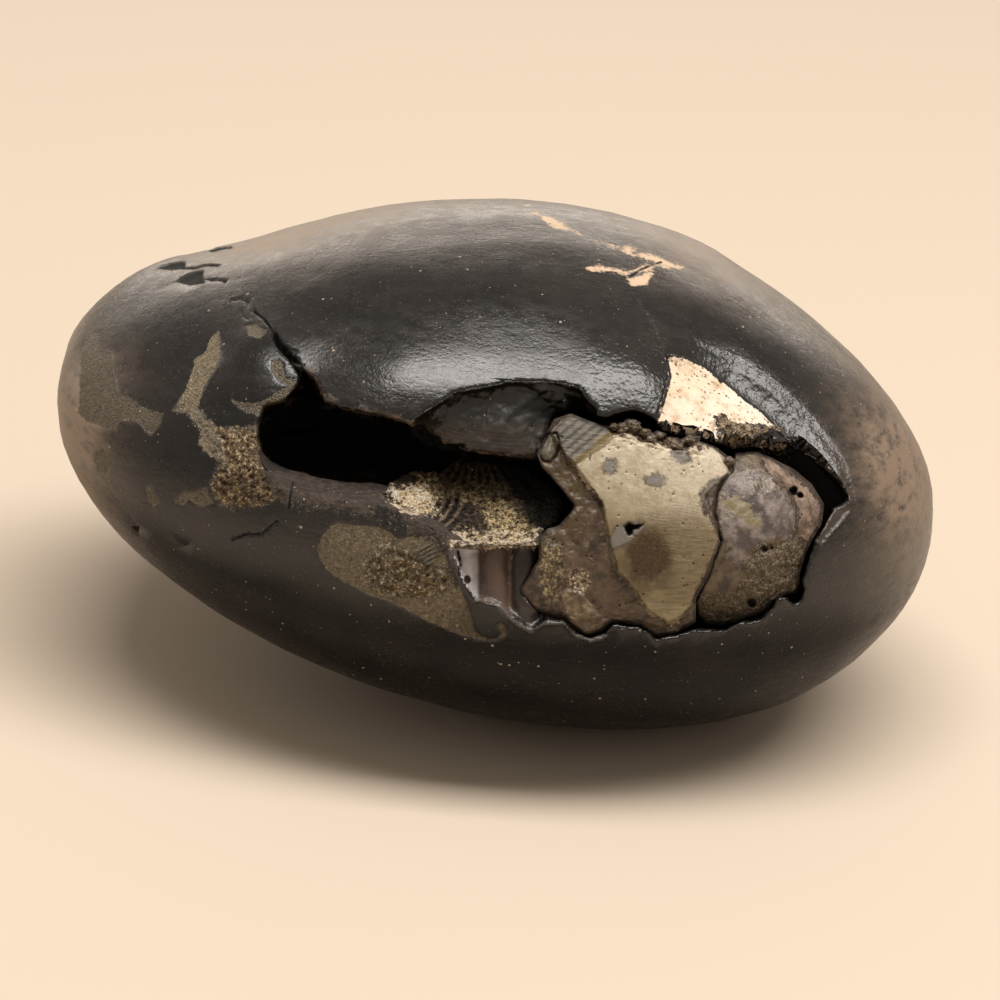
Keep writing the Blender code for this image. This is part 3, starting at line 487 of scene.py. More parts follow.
scarLines = (       # upper edge of a step where a flake came off, drop, length of its slope
    (((-33.7, 22.2), (-31.8, 22.75), (-30.4, 23.1), (-29.6, 23.2)), 0.22, 0.45),
    (((-30.6, 22.5), (-29.0, 22.9), (-27.6, 23.1)), 0.18, 0.35),
    (((-33.2, 20.85), (-31.8, 20.9), (-30.7, 21.2), (-28.8, 21.15)), 0.2, 0.35),
    (((-30.7, 19.6), (-29.6, 19.75), (-28.2, 19.6)), 0.2, 0.3),
    (((-28.0, 17.5), (-27.0, 17.7), (-26.0, 17.4), (-26.0, 16.8)), 0.22, 0.25),
    (((-26.9, 16.7), (-26.6, 16.0), (-25.9, 15.4)), 0.2, 0.25),
)
scarPits = (        # outline and depth of rounded hollows beside the steps
    (((-36.5, 20.65), (-34.9, 21.25), (-32.9, 21.75), (-32.7, 20.7), (-34.9, 20.6)), 0.35),
    (((-33.8, 19.35), (-32.8, 20.1), (-31.8, 20.5), (-30.7, 20.7), (-30.9, 20.0), (-30.6, 19.2),
      (-32.2, 18.9)), 0.32),
    (((-29.2, 19.6), (-28.5, 19.65), (-28.3, 19.25), (-28.8, 19.05)), 0.25),
    (((-33.7, -8.7), (-32.7, -8.0), (-31.6, -7.7), (-32.4, -8.5)), 0.3),
    (((-38.6, -6.2), (-37.9, -6.35), (-37.1, -5.9), (-37.5, -6.6), (-37.7, -7.5), (-38.3, -7.0)), 0.3),
)
lipLine = ((-2.2, -14.3), (-1.3, -14.0), (-0.5, -14.2), (0.3, -14.8), (1.2, -15.9), (2.5, -16.9),
           (3.6, -17.4), (5.1, -16.6), (6.9, -16.6), (8.3, -17.9), (9.9, -18.4), (11.5, -17.9))


def anyInside(outlines, u, v):
    return np.max([insideBy(outline, u, v) for outline in outlines], axis=0)


detailSet = {
    "denseCuts": 1, "swellHeight": 0.16, "swellSize": 9.0, "fineHeight": 0.015, "fineSize": 0.9,
    "hammerHeight": 0.045, "hammerSize": 0.85, "calciteDrop": 0.12, "pyriteDrop": 0.07,
    "giltHeight": 0.3, "giltSize": 0.42, "crumbHeight": 0.75, "crumbSize": 0.8,
    "sparkHeight": 0.3, "sparkSize": 0.7, "shellRidge": 0.14,
    "facetHeight": 0.3, "facetSize": 2.6, "contour": 0.045, "contourPitch": 0.3,
    "creaseLine": ((0.3, 4.3), (1.9, 5.8), (5.4, 8.5)), "creaseRise": 0.3,
    "lump": (6.9, 6.9), "lumpSize": 1.7, "lumpRise": 0.7,
    "rimCrumb": 0.14, "rimCrumbSize": 0.5, "lipRise": 0.24, "lipHalf": 0.2,
    "chip": ((34.2, -4.6), (36.6, -4.3), (37.4, -4.6), (35.4, -7.0), (34.3, -8.4), (33.4, -7.8)),
    "chipDrop": 0.25,
    "grooveLine": ((16.6, 13.6), (18.0, 13.5), (21.4, 13.0), (25.6, 11.3), (29.8, 8.5), (33.5, 4.8),
                   (36.7, 0.6), (38.2, -3.6)),
    "grooveSlope": 0.42, "grooveDrop": 1.15, "target": 196000, "keep": 1.0,
}


def hammered(points, size):         # shallow chipped hollows, 0 to 1
    return np.array([min(1.0, noise.voronoi(Vector(p) / size)[0][0]) for p in points])


def scarDepth(u, v):        # depth of the flaked steps and pits, and how much painted shade their walls get
    depth, dark = np.zeros(len(u)), np.full(len(u), -1.0)
    for line, drop, slope in scarLines:
        side = -lineDistance(line, u, v)
        start, end = line[0], line[-1]
        long = math.hypot(end[0] - start[0], end[1] - start[1])
        share = ((u - start[0]) * (end[0] - start[0]) + (v - start[1]) * (end[1] - start[1])) / long ** 2
        along = ramp(share, -0.02, 0.3) * (1.0 - ramp(share, 0.85, 1.02))
        fall = ramp(side, -0.06, 0.06) * np.exp(-(np.maximum(side, 0.0) / slope) ** 2) * along
        depth = np.maximum(depth, drop * fall)
        dark = np.maximum(dark, np.where(along > 0.25, 0.2 * drop + 0.02 - np.abs(side - 0.04), -1.0))
    for outline, drop in scarPits:
        within = insideBy(outline, u, v)
        depth = np.maximum(depth, drop * ramp(within, -0.05, 0.3))
        dark = np.maximum(dark, np.minimum(within, 0.3) - 0.1)
    return depth, dark


def markRegion(piece, u, v, facing):        # how near each point is to a worked part of the front
    marks = pyriteMarks + giltMarks + (calciteMark, crumblyMark, outerEdge, detailSet["chip"])
    near = anyInside(marks, u, v)
    near = np.maximum(near, np.minimum(0.0, anyInside((bossMark, stripMark), u, v)) - 0.2)
    lines = [line for line, half, deep in crackLines] + [line for line, drop, slope in scarLines]
    for line in lines + [lipLine]:
        low, high = np.min(line, axis=0) - 1.0, np.max(line, axis=0) + 1.0
        some = np.nonzero((u > low[0]) & (u < high[0]) & (v > low[1]) & (v < high[1]))[0]
        away = np.abs(lineDistance(line, u[some], v[some]))
        near[some] = np.maximum(near[some], 0.7 - away)
    return np.where(facing, near, -3.0)


def detailStone(piece):
    s = detailSet
    points, normals = getPoints(piece), getNormals(piece)
    u, v, level = toSight(points)
    facing = (normals @ eyeWay > -0.1) & (level > -6.0)
    worked = markRegion(piece, u, v, facing) > -0.25
    piece.data.polygons.foreach_set("select", np.zeros(len(piece.data.polygons), bool))
    applied(piece, "TRIANGULATE")
    densify(piece, worked, s["denseCuts"])
    points, normals = getPoints(piece), getNormals(piece)
    u, v, level = toSight(points)
    facing = (normals @ eyeWay > -0.1) & (level > -12.0)
    lift = np.zeros(len(points))
    front = np.nonzero(facing)[0]
    uf, vf, pf = u[front], v[front], points[front]
    warp = 0.18 * grainAt(pf, 0.7, 2, 6.0)
    extra = np.zeros(len(front))
    outer, inner = insideBy(outerEdge, uf, vf), insideBy(innerEdge, uf, vf)
    onSkin = outer < 0.05
    hammerMask = np.maximum(ramp(insideBy(bossMark, uf, vf) + warp, -0.2, 1.6),
                            ramp(insideBy(stripMark, uf, vf) + warp, -0.3, 0.7))
    hammerMask = np.where(onSkin, hammerMask, 0.0)
    some = np.nonzero(hammerMask > 0.0)[0]
    chips = hammered(pf[some], s["hammerSize"]) - 0.5
    extra[some] += s["hammerHeight"] * chips * hammerMask[some]
    groove = np.max([insideBy(mark, uf, vf) for mark in (stripMark, calciteMark, crumblyMark)], axis=0)
    below = np.maximum(-lineDistance(s["grooveLine"], uf, vf), 0.0)
    fall = np.minimum(s["grooveSlope"] * below, s["grooveDrop"])
    fall = np.maximum(fall - 0.25 * ramp(fall, 0.0, 0.5), 0.0)
    extra -= fall * ramp(groove, -0.22, 0.08) * onSkin
    calcite = insideBy(calciteMark, uf, vf)
    extra -= s["calciteDrop"] * ramp(calcite, 0.0, 0.2) * onSkin
    pyrite = anyInside(pyriteMarks, uf, vf)
    extra -= s["pyriteDrop"] * ramp(pyrite + warp, -0.1, 0.15)
    gilt = ramp(insideBy(giltMarks[0], uf, vf) + warp, -0.1, 0.6)
    spark = ramp(insideBy(giltMarks[1], uf, vf) + 2.0 * warp, -0.3, 0.5)
    crumbs = ramp(insideBy(crumblyMark, uf, vf) + 1.5 * warp, -0.25, 0.35)
    for mask, height, size, seed in (
            (gilt, s["giltHeight"], s["giltSize"], 7.0), (spark, s["sparkHeight"], s["sparkSize"], 7.5),
            (crumbs, s["crumbHeight"], s["crumbSize"], 8.0)):
        some = np.nonzero(mask > 0.0)[0]
        extra[some] += mask[some] * height * (grainAt(pf[some], size, 3, seed) - 0.15)
    shell = ramp(insideBy(shellPiece, uf, vf), -0.05, 0.1)
    across = (uf * math.sin(math.radians(36.0)) - vf * math.cos(math.radians(36.0))) / 0.42
    extra += shell * (0.1 + s["shellRidge"] * (0.5 - 2.0 * np.abs(across - np.round(across))))
    facet = ramp(outer, 0.05, 0.5) * ramp(-inner, -0.4, 0.3) * (uf > facetSpan[0]) * (uf < facetSpan[1])
    some = np.nonzero(facet > 0.0)[0]
    scallop = np.abs(grainAt(pf[some], s["facetSize"], 3, 9.0))
    bands = outer[some] / s["contourPitch"]
    bands = s["contour"] * (1.0 - 4.0 * np.abs(bands - np.round(bands))) * (uf[some] < 1.0)
    extra[some] += facet[some] * (s["facetHeight"] * (scallop - 0.3) + bands)
    crease = lineDistance(s["creaseLine"], uf, vf)
    extra += facet * s["creaseRise"] * np.exp(-np.abs(crease) / 0.7)
    lump = np.hypot(uf - s["lump"][0], vf - s["lump"][1]) / s["lumpSize"]
    extra += facet * s["lumpRise"] * np.exp(-lump ** 2)
    rim = ramp(inner, -0.9, -0.1) * (1.0 - ramp(inner, 0.3, 1.2)) * (uf > -19.0) * (uf < 5.0) * (vf > 0.2)
    some = np.nonzero(rim > 0.0)[0]
    extra[some] += rim[some] * s["rimCrumb"] * grainAt(pf[some], s["rimCrumbSize"], 2, 10.0)
    for line, half, deep in crackLines:
        away = np.abs(lineDistance(line, uf, vf) + warp * 0.5)
        extra -= deep * (1.0 - ramp(away, 0.0, half))
    scar, scarShade = scarDepth(uf + 0.6 * warp, vf + 0.4 * warp)
    extra -= scar
    lip = np.abs(lineDistance(lipLine, uf, vf) + 0.5 * warp)
    extra += s["lipRise"] * (1.0 - ramp(lip, 0.0, s["lipHalf"]))
    extra -= s["chipDrop"] * ramp(insideBy(s["chip"], uf, vf) + warp, 0.0, 0.3)
    lift[front] += extra
    # painted shade for the flaked steps' walls, stored as the scar mask
    dark = np.full(len(points), -1.0)
    dark[front] = scarShade
    storeMask(piece, "scar", dark)
    lift += s["swellHeight"] * grainAt(points, s["swellSize"], 2, 4.0)
    lift += s["fineHeight"] * grainAt(points, s["fineSize"], 1, 5.0)
    setPoints(piece, standOnFloor(points + normals * lift[:, None]))


def thinOut(piece):         # fewer faces where the stone is plain
    s = detailSet
    points, normals = getPoints(piece), getNormals(piece)
    u, v, level = toSight(points)
    near = markRegion(piece, u, v, (normals @ eyeWay > -0.2) & (level > -6.0))
    keep = ramp(near, -s["keep"], 0.0)
    group = piece.vertex_groups.new(name="plain")
    plain = 1.0 - 0.9 * keep
    for weight in (0.1, 1.0):
        chosen = np.nonzero(np.abs(plain - weight) < 0.45)[0]
        group.add(chosen.tolist(), weight, "REPLACE")
    faces = sum(len(face.vertices) - 2 for face in piece.data.polygons)
    applied(piece, "DECIMATE", ratio=min(1.0, s["target"] / faces), vertex_group="plain",
            vertex_group_factor=1.0)
    print("thinned from", faces)


detailStone(stone)
print("stone detailed")
thinOut(stone)
print("stone thinned to", len(stone.data.polygons), "faces")


palePlate = (
    (12.2, 3.4), (13.9, 3.4), (15.2, 2.5), (17.8, 2.5), (18.7, 1.7), (20.0, 1.7), (21.2, 2.7),
    (23.0, 2.1), (23.8, 1.0), (24.5, -0.9), (23.4, -1.9), (21.9, -3.2), (21.8, -5.2), (23.2, -6.7),
    (23.6, -8.1), (22.1, -11.2), (21.0, -13.2), (20.4, -14.9), (19.0, -16.3), (17.9, -16.5),
    (16.1, -15.4), (14.5, -13.2), (12.8, -11.2), (12.3, -9.6), (11.9, -8.1), (11.4, -5.4),
    (11.0, -3.8), (9.7, -2.1), (8.5, -0.3), (8.2, 0.1), (10.4, 1.7))
layeredPiece = (
    (5.6, 3.6), (6.9, 5.0), (8.1, 5.4), (9.4, 5.1), (11.9, 3.7), (12.2, 2.9), (11.2, 1.9), (8.3, 0.0),
    (7.5, 0.7), (6.5, 2.3))
goldEdge = ((11.9, 3.7), (12.3, 2.8), (10.4, 1.4), (8.3, 0.0), (7.8, 0.5), (9.9, 2.0), (11.1, 3.2))
lensPiece = ((6.3, 3.4), (6.6, 2.4), (6.3, 1.1), (5.6, 0.4), (4.9, 0.5), (4.5, 1.2), (4.8, 2.2), (5.4, 3.3))
tanPatch = ((6.6, -13.4), (7.4, -12.9), (9.2, -13.6), (10.6, -15.4), (11.7, -16.3), (10.9, -17.5),
            (9.6, -18.0), (8.4, -17.2), (7.2, -15.6))
greySpots = (
    ((11.0, 0.1), (11.6, 0.7), (12.4, 0.6), (12.8, -0.2), (12.2, -1.0), (11.3, -0.9)),
    ((18.2, 1.9), (20.0, 1.8), (20.4, 0.6), (19.2, 0.1), (18.2, 0.7)),
    ((15.6, -1.2), (17.0, -0.7), (18.3, -1.5), (17.2, -2.4), (15.6, -2.0)),
    ((24.1, -1.2), (22.4, -1.6), (21.4, -3.0), (21.7, -4.6), (22.6, -3.6), (23.4, -2.4)),
    ((12.4, -6.6), (13.2, -5.8), (15.0, -5.8), (15.6, -6.6), (14.4, -7.9), (13.0, -8.6), (11.9, -9.0),
     (11.7, -7.9)))
castSet = {
    "voxel": 0.13, "rounds": 3, "grow": 0.38, "faces": 180000, "recess": 1.35, "plateRise": 0.75,
    "layerRise": 0.9, "lensRise": 0.6, "tanRise": 0.35, "edgeDrop": 0.25, "edgeWidth": 0.4,
    "roughHeight": 0.3, "roughSize": 1.4, "plateHeight": 0.06, "plateSize": 2.4,
    "scratchHeight": 0.03, "scratchPitch": 0.34, "scratchTilt": -0.16,
    "hole": ((13.3, -6.3), (13.9, -6.0), (14.6, -6.2), (15.4, -6.2), (14.9, -6.7), (14.4, -6.8),
             (14.3, -7.3), (13.8, -7.4), (13.5, -6.9)),
    "holeDepth": 1.3, "smallPits": 60, "lumpRise": 0.75, "lumpSize": 0.85, "stain": (16.0, -9.6, 2.6, 3.0),
}
endPurple = (
    (24.6, -0.8), (26.4, -0.2), (28.4, -0.6), (30.4, -2.6), (31.4, -5.4), (30.6, -7.6), (28.2, -8.0),
    (26.6, -9.4), (25.6, -11.2), (24.2, -9.4), (23.6, -6.2), (23.3, -3.8))
endStripe = (
    (23.7, -3.6), (25.0, -3.2), (26.6, -4.6), (27.8, -6.2), (27.4, -6.9), (26.2, -6.2), (25.2, -5.0),
    (23.8, -4.4))
endLow = (
    (27.6, -8.2), (30.2, -7.9), (32.4, -8.6), (32.2, -13.4), (29.0, -14.4), (26.2, -16.0),
    (23.6, -16.8), (21.0, -16.0), (21.4, -13.6), (24.0, -13.2), (26.0, -11.8), (26.6, -9.6))
endRim = (
    (27.6, 1.2), (29.8, 0.0), (31.6, -1.2), (33.2, -3.0), (34.6, -4.6), (34.2, -6.8), (33.0, -8.2),
    (31.8, -7.4), (31.6, -4.2), (30.4, -2.4), (28.6, -0.8))
endSet = {
    "voxel": 0.13, "rounds": 3, "grow": 0.38, "faces": 120000, "recess": 0.7,
    "middle": (27.6, -6.4), "radius": 7.5, "domeDrop": 1.3, "edgeDrop": 0.25, "edgeWidth": 0.4,
    "roughHeight": 0.12, "roughSize": 1.5, "lowHeight": 0.32, "lowSize": 0.9,
    "pits": ((31.2, -2.7, 0.5, 1.2), (31.9, -3.1, 0.35, 0.8), (28.2, -8.8, 0.35, 0.7),
             (28.9, -8.6, 0.25, 0.5), (26.8, -14.4, 0.5, 1.1), (24.2, -10.8, 0.8, 0.35)),
    "stepLine": ((29.2, -10.6), (30.6, -10.4), (32.0, -10.4)), "stepDrop": 0.4,
    "rim": ((28.3, 0.6), (29.4, -1.0), (30.6, -2.2), (31.6, -4.0), (31.4, -6.3), (31.9, -8.4)),
    "rimDrop": 0.25,
}


def fromCad(node, name, grow):      # a copy of a CAD node, merged, in the stone's own frame
    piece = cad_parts[node].copy()
    piece.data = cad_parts[node].data.copy()
    bpy.context.scene.collection.objects.link(piece)
    for key in list(piece.keys()):
        del piece[key]
    piece.name = name
    piece.parent = None
    piece.matrix_world = Matrix.Identity(4)
    piece.data.materials.clear()
    piece.data.transform(standing.inverted())
    pick(piece)
    bpy.ops.object.mode_set(mode="EDIT")
    bpy.ops.mesh.select_all(action="SELECT")
    bpy.ops.mesh.remove_doubles(threshold=0.001)
    bpy.ops.object.mode_set(mode="OBJECT")
    applied(piece, "DISPLACE", mid_level=0.0, strength=grow)
    return piece


def skinLevel(u, v):
    levels = np.empty(len(u))
    eye = Vector(eyePoint)
    for index, flat in enumerate(u[:, None] * rightWay + v[:, None] * upWay):
        hit = skin.ray_cast(eye, Vector(flat) - eye)[0]
        levels[index] = hit.dot(Vector(eyeWay)) if hit else 20.0
    return levels


def dentPits(recess, u, v, pits, warp):
    for pitU, pitV, radius, deep in pits:
        away = np.hypot(u - pitU, v - pitV) + warp
        recess = recess + deep * (1.0 - ramp(away, 0.3 * radius, 1.3 * radius))
    return recess


def faceBlock(piece, edge, recessAt, s):        # sets a block's front face to its true height
    evenOut(piece, s["voxel"], s["rounds"])
    points, normals = getPoints(piece), getNormals(piece)
    u, v, level = toSight(points)
    within = insideBy(edge, u, v)
    face = np.nonzero((normals @ eyeWay > 0.2) & (within > -0.8))[0]
    recess = recessAt(u[face], v[face], points[face], within[face] + s["grow"])
    aim = skinLevel(u[face], v[face]) - recess
    hold = ramp(normals[face] @ eyeWay, 0.2, 0.45)
    level[face] = level[face] * (1.0 - hold) + aim * hold
    setPoints(piece, fromSight(u, v, level))
    faces = 2 * len(piece.data.polygons)
    applied(piece, "DECIMATE", ratio=min(1.0, s["faces"] / faces))


def mainRecess(u, v, points, within):
    s = castSet
    warp = 0.2 * grainAt(points, 0.8, 2, 11.0)
    plate = ramp(insideBy(palePlate, u, v) + 0.6 * warp, -0.1, 0.2)
    layered = ramp(insideBy(layeredPiece, u, v) + 0.4 * warp, -0.1, 0.15)
    lens = insideBy(lensPiece, u, v) + 0.2 * warp
    tan = ramp(insideBy(tanPatch, u, v) + 0.8 * warp, -0.1, 0.2)
    recess = s["recess"] - s["plateRise"] * plate - s["layerRise"] * layered * (1.0 - plate)
    recess -= s["tanRise"] * tan
    recess -= s["lensRise"] * (ramp(lens, 0.0, 0.9) - 1.1 * (1.0 - ramp(np.abs(lens), 0.0, 0.2)))
    bare = 1.0 - np.maximum(plate, layered)
    recess -= s["roughHeight"] * bare * grainAt(points, s["roughSize"], 4, 12.0)
    recess -= s["plateHeight"] * plate * grainAt(points, s["plateSize"], 4, 13.0)
    slabs = (u * math.sin(math.radians(40.0)) - v * math.cos(math.radians(40.0))) / 0.8
    recess += 0.16 * layered * np.abs(slabs - np.round(slabs)) * 2.0
    strokes = (v - s["scratchTilt"] * u + 0.15 * np.sin(0.8 * u)) / s["scratchPitch"]
    brushed = plate * ramp(u, 14.0, 16.5) * ramp(-v, 2.5, 4.5) * ramp(v, -12.0, -9.5)
    brushed = brushed * np.clip(0.45 + 1.6 * grainAt(points, 1.9, 2, 31.0), 0.0, 1.0)
    strokes = strokes + 0.8 * grainAt(points, 3.5, 2, 32.0)
    recess += s["scratchHeight"] * brushed * np.cos(2.0 * math.pi * strokes + 5.0 * warp)
    recess += s["holeDepth"] * ramp(insideBy(s["hole"], u, v) + 0.5 * warp, -0.1, 0.3)
    chooser = np.random.default_rng(5)
    spots = chooser.uniform((6.0, -15.5), (23.0, 3.0), (s["smallPits"], 2))
    small = [(pitU, pitV, 0.06 + 0.1 * share, 0.25) for (pitU, pitV), share in
             zip(spots, chooser.random(s["smallPits"]))]
    recess = dentPits(recess, u, v, small, 0.1 * warp)
    lumps = ramp(v + 0.22 * (u - 12.0), 2.7, 3.3) * ramp(u, 12.0, 12.6) * (1.0 - ramp(u, 21.0, 22.0))
    some = np.nonzero(lumps > 0.0)[0]
    cells = hammered(points[some], s["lumpSize"])
    recess[some] -= lumps[some] * s["lumpRise"] * (0.55 - cells)
    return recess + s["edgeDrop"] * (1.0 - ramp(within + 0.5 * warp, 0.0, s["edgeWidth"]))


def endRecess(u, v, points, within):
    s = endSet
    warp = 0.2 * grainAt(points, 0.8, 2, 15.0)
    away = np.hypot(u - s["middle"][0], v - s["middle"][1]) / s["radius"]
    recess = s["recess"] + s["domeDrop"] * away ** 2
    recess -= s["roughHeight"] * grainAt(points, s["roughSize"], 4, 16.0)
    low = ramp(insideBy(endLow, u, v) + warp, -0.3, 0.6)
    recess -= low * s["lowHeight"] * grainAt(points, s["lowSize"], 3, 17.0)
    rim = lineDistance(s["rim"], u, v)
    recess += s["rimDrop"] * ramp(rim + warp, -0.1, 0.12) * (1.0 - ramp(np.abs(rim), 1.8, 2.6))
    recess += 0.25 * (1.0 - ramp(np.abs(rim + warp), 0.0, 0.16))
    step = -lineDistance(s["stepLine"], u, v)
    fading = np.exp(-np.maximum(step, 0.0) / 1.2) * ramp(u, 28.8, 29.8)
    recess += s["stepDrop"] * ramp(step, -0.05, 0.1) * fading
    recess = dentPits(recess, u, v, s["pits"], 0.8 * warp)
    return recess + s["edgeDrop"] * (1.0 - ramp(within + 0.5 * warp, 0.0, s["edgeWidth"]))


nodules = (     # small dark-rimmed lumps along the block's upper edge: place, radius
    (12.3, 4.1, 0.5), (13.3, 4.0, 0.6), (14.4, 4.2, 0.75), (15.5, 3.5, 0.6), (16.3, 2.8, 0.6),
    (17.2, 3.2, 0.5), (18.3, 2.4, 0.75), (19.2, 2.0, 0.5), (20.3, 2.6, 0.7), (21.4, 1.8, 0.45),
    (24.3, 0.5, 0.55))
noduleSink = 0.95


def addNodules(block):
    parts = []
    u, v, radius = np.array(nodules).T
    middles = fromSight(u, v, skinLevel(u, v) - noduleSink)
    for middle, size in zip(middles, radius):
        lump = addBall(4)
        places = getPoints(lump)
        grain = 0.95 + 0.55 * grainAt(places * size + middle, 0.75, 4, 18.0)
        places = places * np.array((1.15, 0.9, 0.8))
        setPoints(lump, middle + places * size * grain[:, None])
        parts.append(lump)
    joinTo(block, parts)


castMain = fromCad("fossil_cast", "fossilCast", castSet["grow"])
faceBlock(castMain, castMainEdge, mainRecess, castSet)
addNodules(castMain)
castEnd = fromCad("fossil_cast_end", "fossilCastEnd", endSet["grow"])
faceBlock(castEnd, castEndEdge, endRecess, endSet)
print("cast blocks shaped", len(castMain.data.polygons), len(castEnd.data.polygons))


crystalSet = {
    "spacing": 0.085, "grow": 0.25, "ragged": 0.3, "raggedSize": 0.8, "edgeRoll": 0.55, "rollWidth": 0.5,
    "height": 0.34, "size": 0.5, "lumpSize": 0.45, "fanMiddle": (-2.1, 3.4), "fanRibs": 36, "fanHeight": 0.2,
    "cluster": (-8.9, -3.7), "clusterSize": (2.6, 1.7), "clusterRise": 0.5,
    "count": 5200, "least": 0.13, "most": 0.42, "seed": 3,
}


def clusterAt(u, v):        # the pale heap of crystals, 0 to 1
    s = crystalSet
    return np.exp(-((u - s["cluster"][0]) / s["clusterSize"][0]) ** 4
                  - ((v - s["cluster"][1] - 0.12 * (u + 9.0)) / s["clusterSize"][1]) ** 4)


def massAt(u, v):       # the coarse golden part, 0 to 1
    return ramp(u + 0.4 * v, -7.2, -5.2) * ramp(-v, 1.2, 3.2)


def fanRibs(u, v):      # fine ribs that spread from one point, -1 to 1
    s = crystalSet
    around = np.arctan2(u - s["fanMiddle"][0], s["fanMiddle"][1] - v)
    within = ramp(v, -5.4, -3.2) * (1.0 - ramp(v, -0.6, 0.2)) * ramp(u, -6.5, -5.0)
    return np.cos(s["fanRibs"] * around) * within


def crustLevel(u, v):
    s = crystalSet
    flat = np.stack((u, v, np.zeros(len(u))), axis=1)
    grain = grainAt(flat, s["size"], 3, 21.0)
    lumps = hammered(flat, s["lumpSize"])
    cluster, mass = clusterAt(u, v), massAt(u, v)
    coarse = np.clip(0.15 + mass + cluster, 0.0, 1.0)
    fan = s["fanHeight"] * fanRibs(u, v)
    rise = coarse * s["height"] * (0.8 * grain + 0.9 * (0.45 - lumps)) + s["clusterRise"] * cluster + fan
    return skinLevel(u, v) - crustDepth(u, v) + rise


def makeCrust():        # a grid cut to the crust's outline, raised to its relief and thickened
    s = crystalSet
    low, high = np.min(crustEdge, axis=0) - 0.6, np.max(crustEdge, axis=0) + 0.6
    columns, rows = np.ceil((high - low) / s["spacing"]).astype(int)
    bpy.ops.object.select_all(action="DESELECT")
    bpy.ops.mesh.primitive_grid_add(x_subdivisions=int(columns), y_subdivisions=int(rows), size=1.0)
    crust = bpy.context.object
    crust.name = "crystalCrust"
    flat = getPoints(crust)
    share = (flat - flat.min(axis=0)) / (flat.max(axis=0) - flat.min(axis=0) + 1e-9)
    u, v = low[0] + share[:, 0] * (high[0] - low[0]), low[1] + share[:, 1] * (high[1] - low[1])
    wobble = s["ragged"] * grainAt(np.stack((u, v, np.zeros(len(u))), axis=1), s["raggedSize"], 3, 22.0)
    outside = insideBy(crustEdge, u, v) + s["grow"] + wobble < 0.0
    flat[:, 0], flat[:, 1], flat[:, 2] = u, v, 0.0
    setPoints(crust, flat)
    pick(crust)
    crust.data.polygons.foreach_set("select", np.zeros(len(crust.data.polygons), bool))
    crust.data.edges.foreach_set("select", np.zeros(len(crust.data.edges), bool))
    crust.data.vertices.foreach_set("select", outside)
    bpy.context.tool_settings.mesh_select_mode = (True, False, False)
    bpy.ops.object.mode_set(mode="EDIT")
    bpy.ops.mesh.delete(type="VERT")
    bpy.ops.mesh.select_all(action="SELECT")
    bpy.ops.mesh.extrude_region()
    bpy.ops.object.mode_set(mode="OBJECT")
    top = np.zeros(len(crust.data.vertices), bool)
    crust.data.vertices.foreach_get("select", top)
    flat = getPoints(crust)
    u, v = flat[:, 0], flat[:, 1]
    within = insideBy(crustEdge, u, v)
    level = np.empty(len(u))
    level[top] = crustLevel(u[top], v[top])
    level[top] -= s["edgeRoll"] * (1.0 - ramp(within[top] + s["grow"], 0.0, s["rollWidth"])) ** 2
    level[~top] = skinLevel(u[~top], v[~top]) - crustDepth(u[~top], v[~top]) - crustSet["thickness"]
    setPoints(crust, fromSight(u, v, level))
    bpy.ops.object.mode_set(mode="EDIT")
    bpy.ops.mesh.select_all(action="SELECT")
    bpy.ops.mesh.normals_make_consistent(inside=False)
    bpy.ops.mesh.quads_convert_to_tris()
    bpy.ops.object.mode_set(mode="OBJECT")
    bpy.ops.object.shade_smooth()
    storeMask(crust, "glint", np.zeros(len(u)))
    return crust


def addCrystals(crust):        # one cube, copied, turned and sunk into the crust
    s = crystalSet
    chooser = np.random.default_rng(s["seed"])
    bpy.ops.object.select_all(action="DESELECT")
    bpy.ops.mesh.primitive_cube_add(size=1.0)
    cube = bpy.context.object
    corners = getPoints(cube)
    quads = np.array([face.vertices[:] for face in cube.data.polygons])
    bpy.data.objects.remove(cube, do_unlink=True)
    spots = chooser.uniform((-12.0, -8.6), (7.0, 0.2), (s["count"] * 3, 2))
    within = insideBy(crustEdge, spots[:, 0], spots[:, 1])
    rim = np.exp(-((within - 0.3) / 0.35) ** 2) * ramp(-spots[:, 1], 6.0, 7.5)
    chance = 0.06 + 0.9 * clusterAt(*spots.T) + 0.55 * massAt(*spots.T) + rim
    kept = (within > -0.15) & (chooser.random(len(spots)) < chance)
    u, v = spots[kept][:s["count"]].T
    size = s["least"] + (s["most"] - s["least"]) * chooser.random(len(u)) ** 2.5
    middle = fromSight(u, v, crustLevel(u, v))
    allPoints, allFaces = [], []
    for index in range(len(u)):
        turn = Matrix.Rotation(chooser.uniform(0.0, math.pi), 3, Vector(chooser.normal(size=3)))
        shaped = corners * size[index] * chooser.uniform(0.7, 1.3, 3)
        allPoints.append(shaped @ np.array(turn).T + middle[index])
        allFaces.append(quads + 8 * index)
    mesh = bpy.data.meshes.new("crystals")
    mesh.from_pydata(np.concatenate(allPoints).tolist(), [], np.concatenate(allFaces).tolist())
    crystals = bpy.data.objects.new("crystals", mesh)
    bpy.context.scene.collection.objects.link(crystals)
    storeMask(crystals, "glint", np.repeat(chooser.uniform(0.2, 1.0, len(u)), 8))
    joinTo(crust, [crystals])


crust = makeCrust()
addCrystals(crust)
print("crust grown", len(crust.data.polygons))


farOut = -3.0       # stands for "nowhere near a mark"


def depthUnder(points):     # distance below the unbroken skin
    return np.array([skin.find_nearest(Vector(point))[3] for point in points])


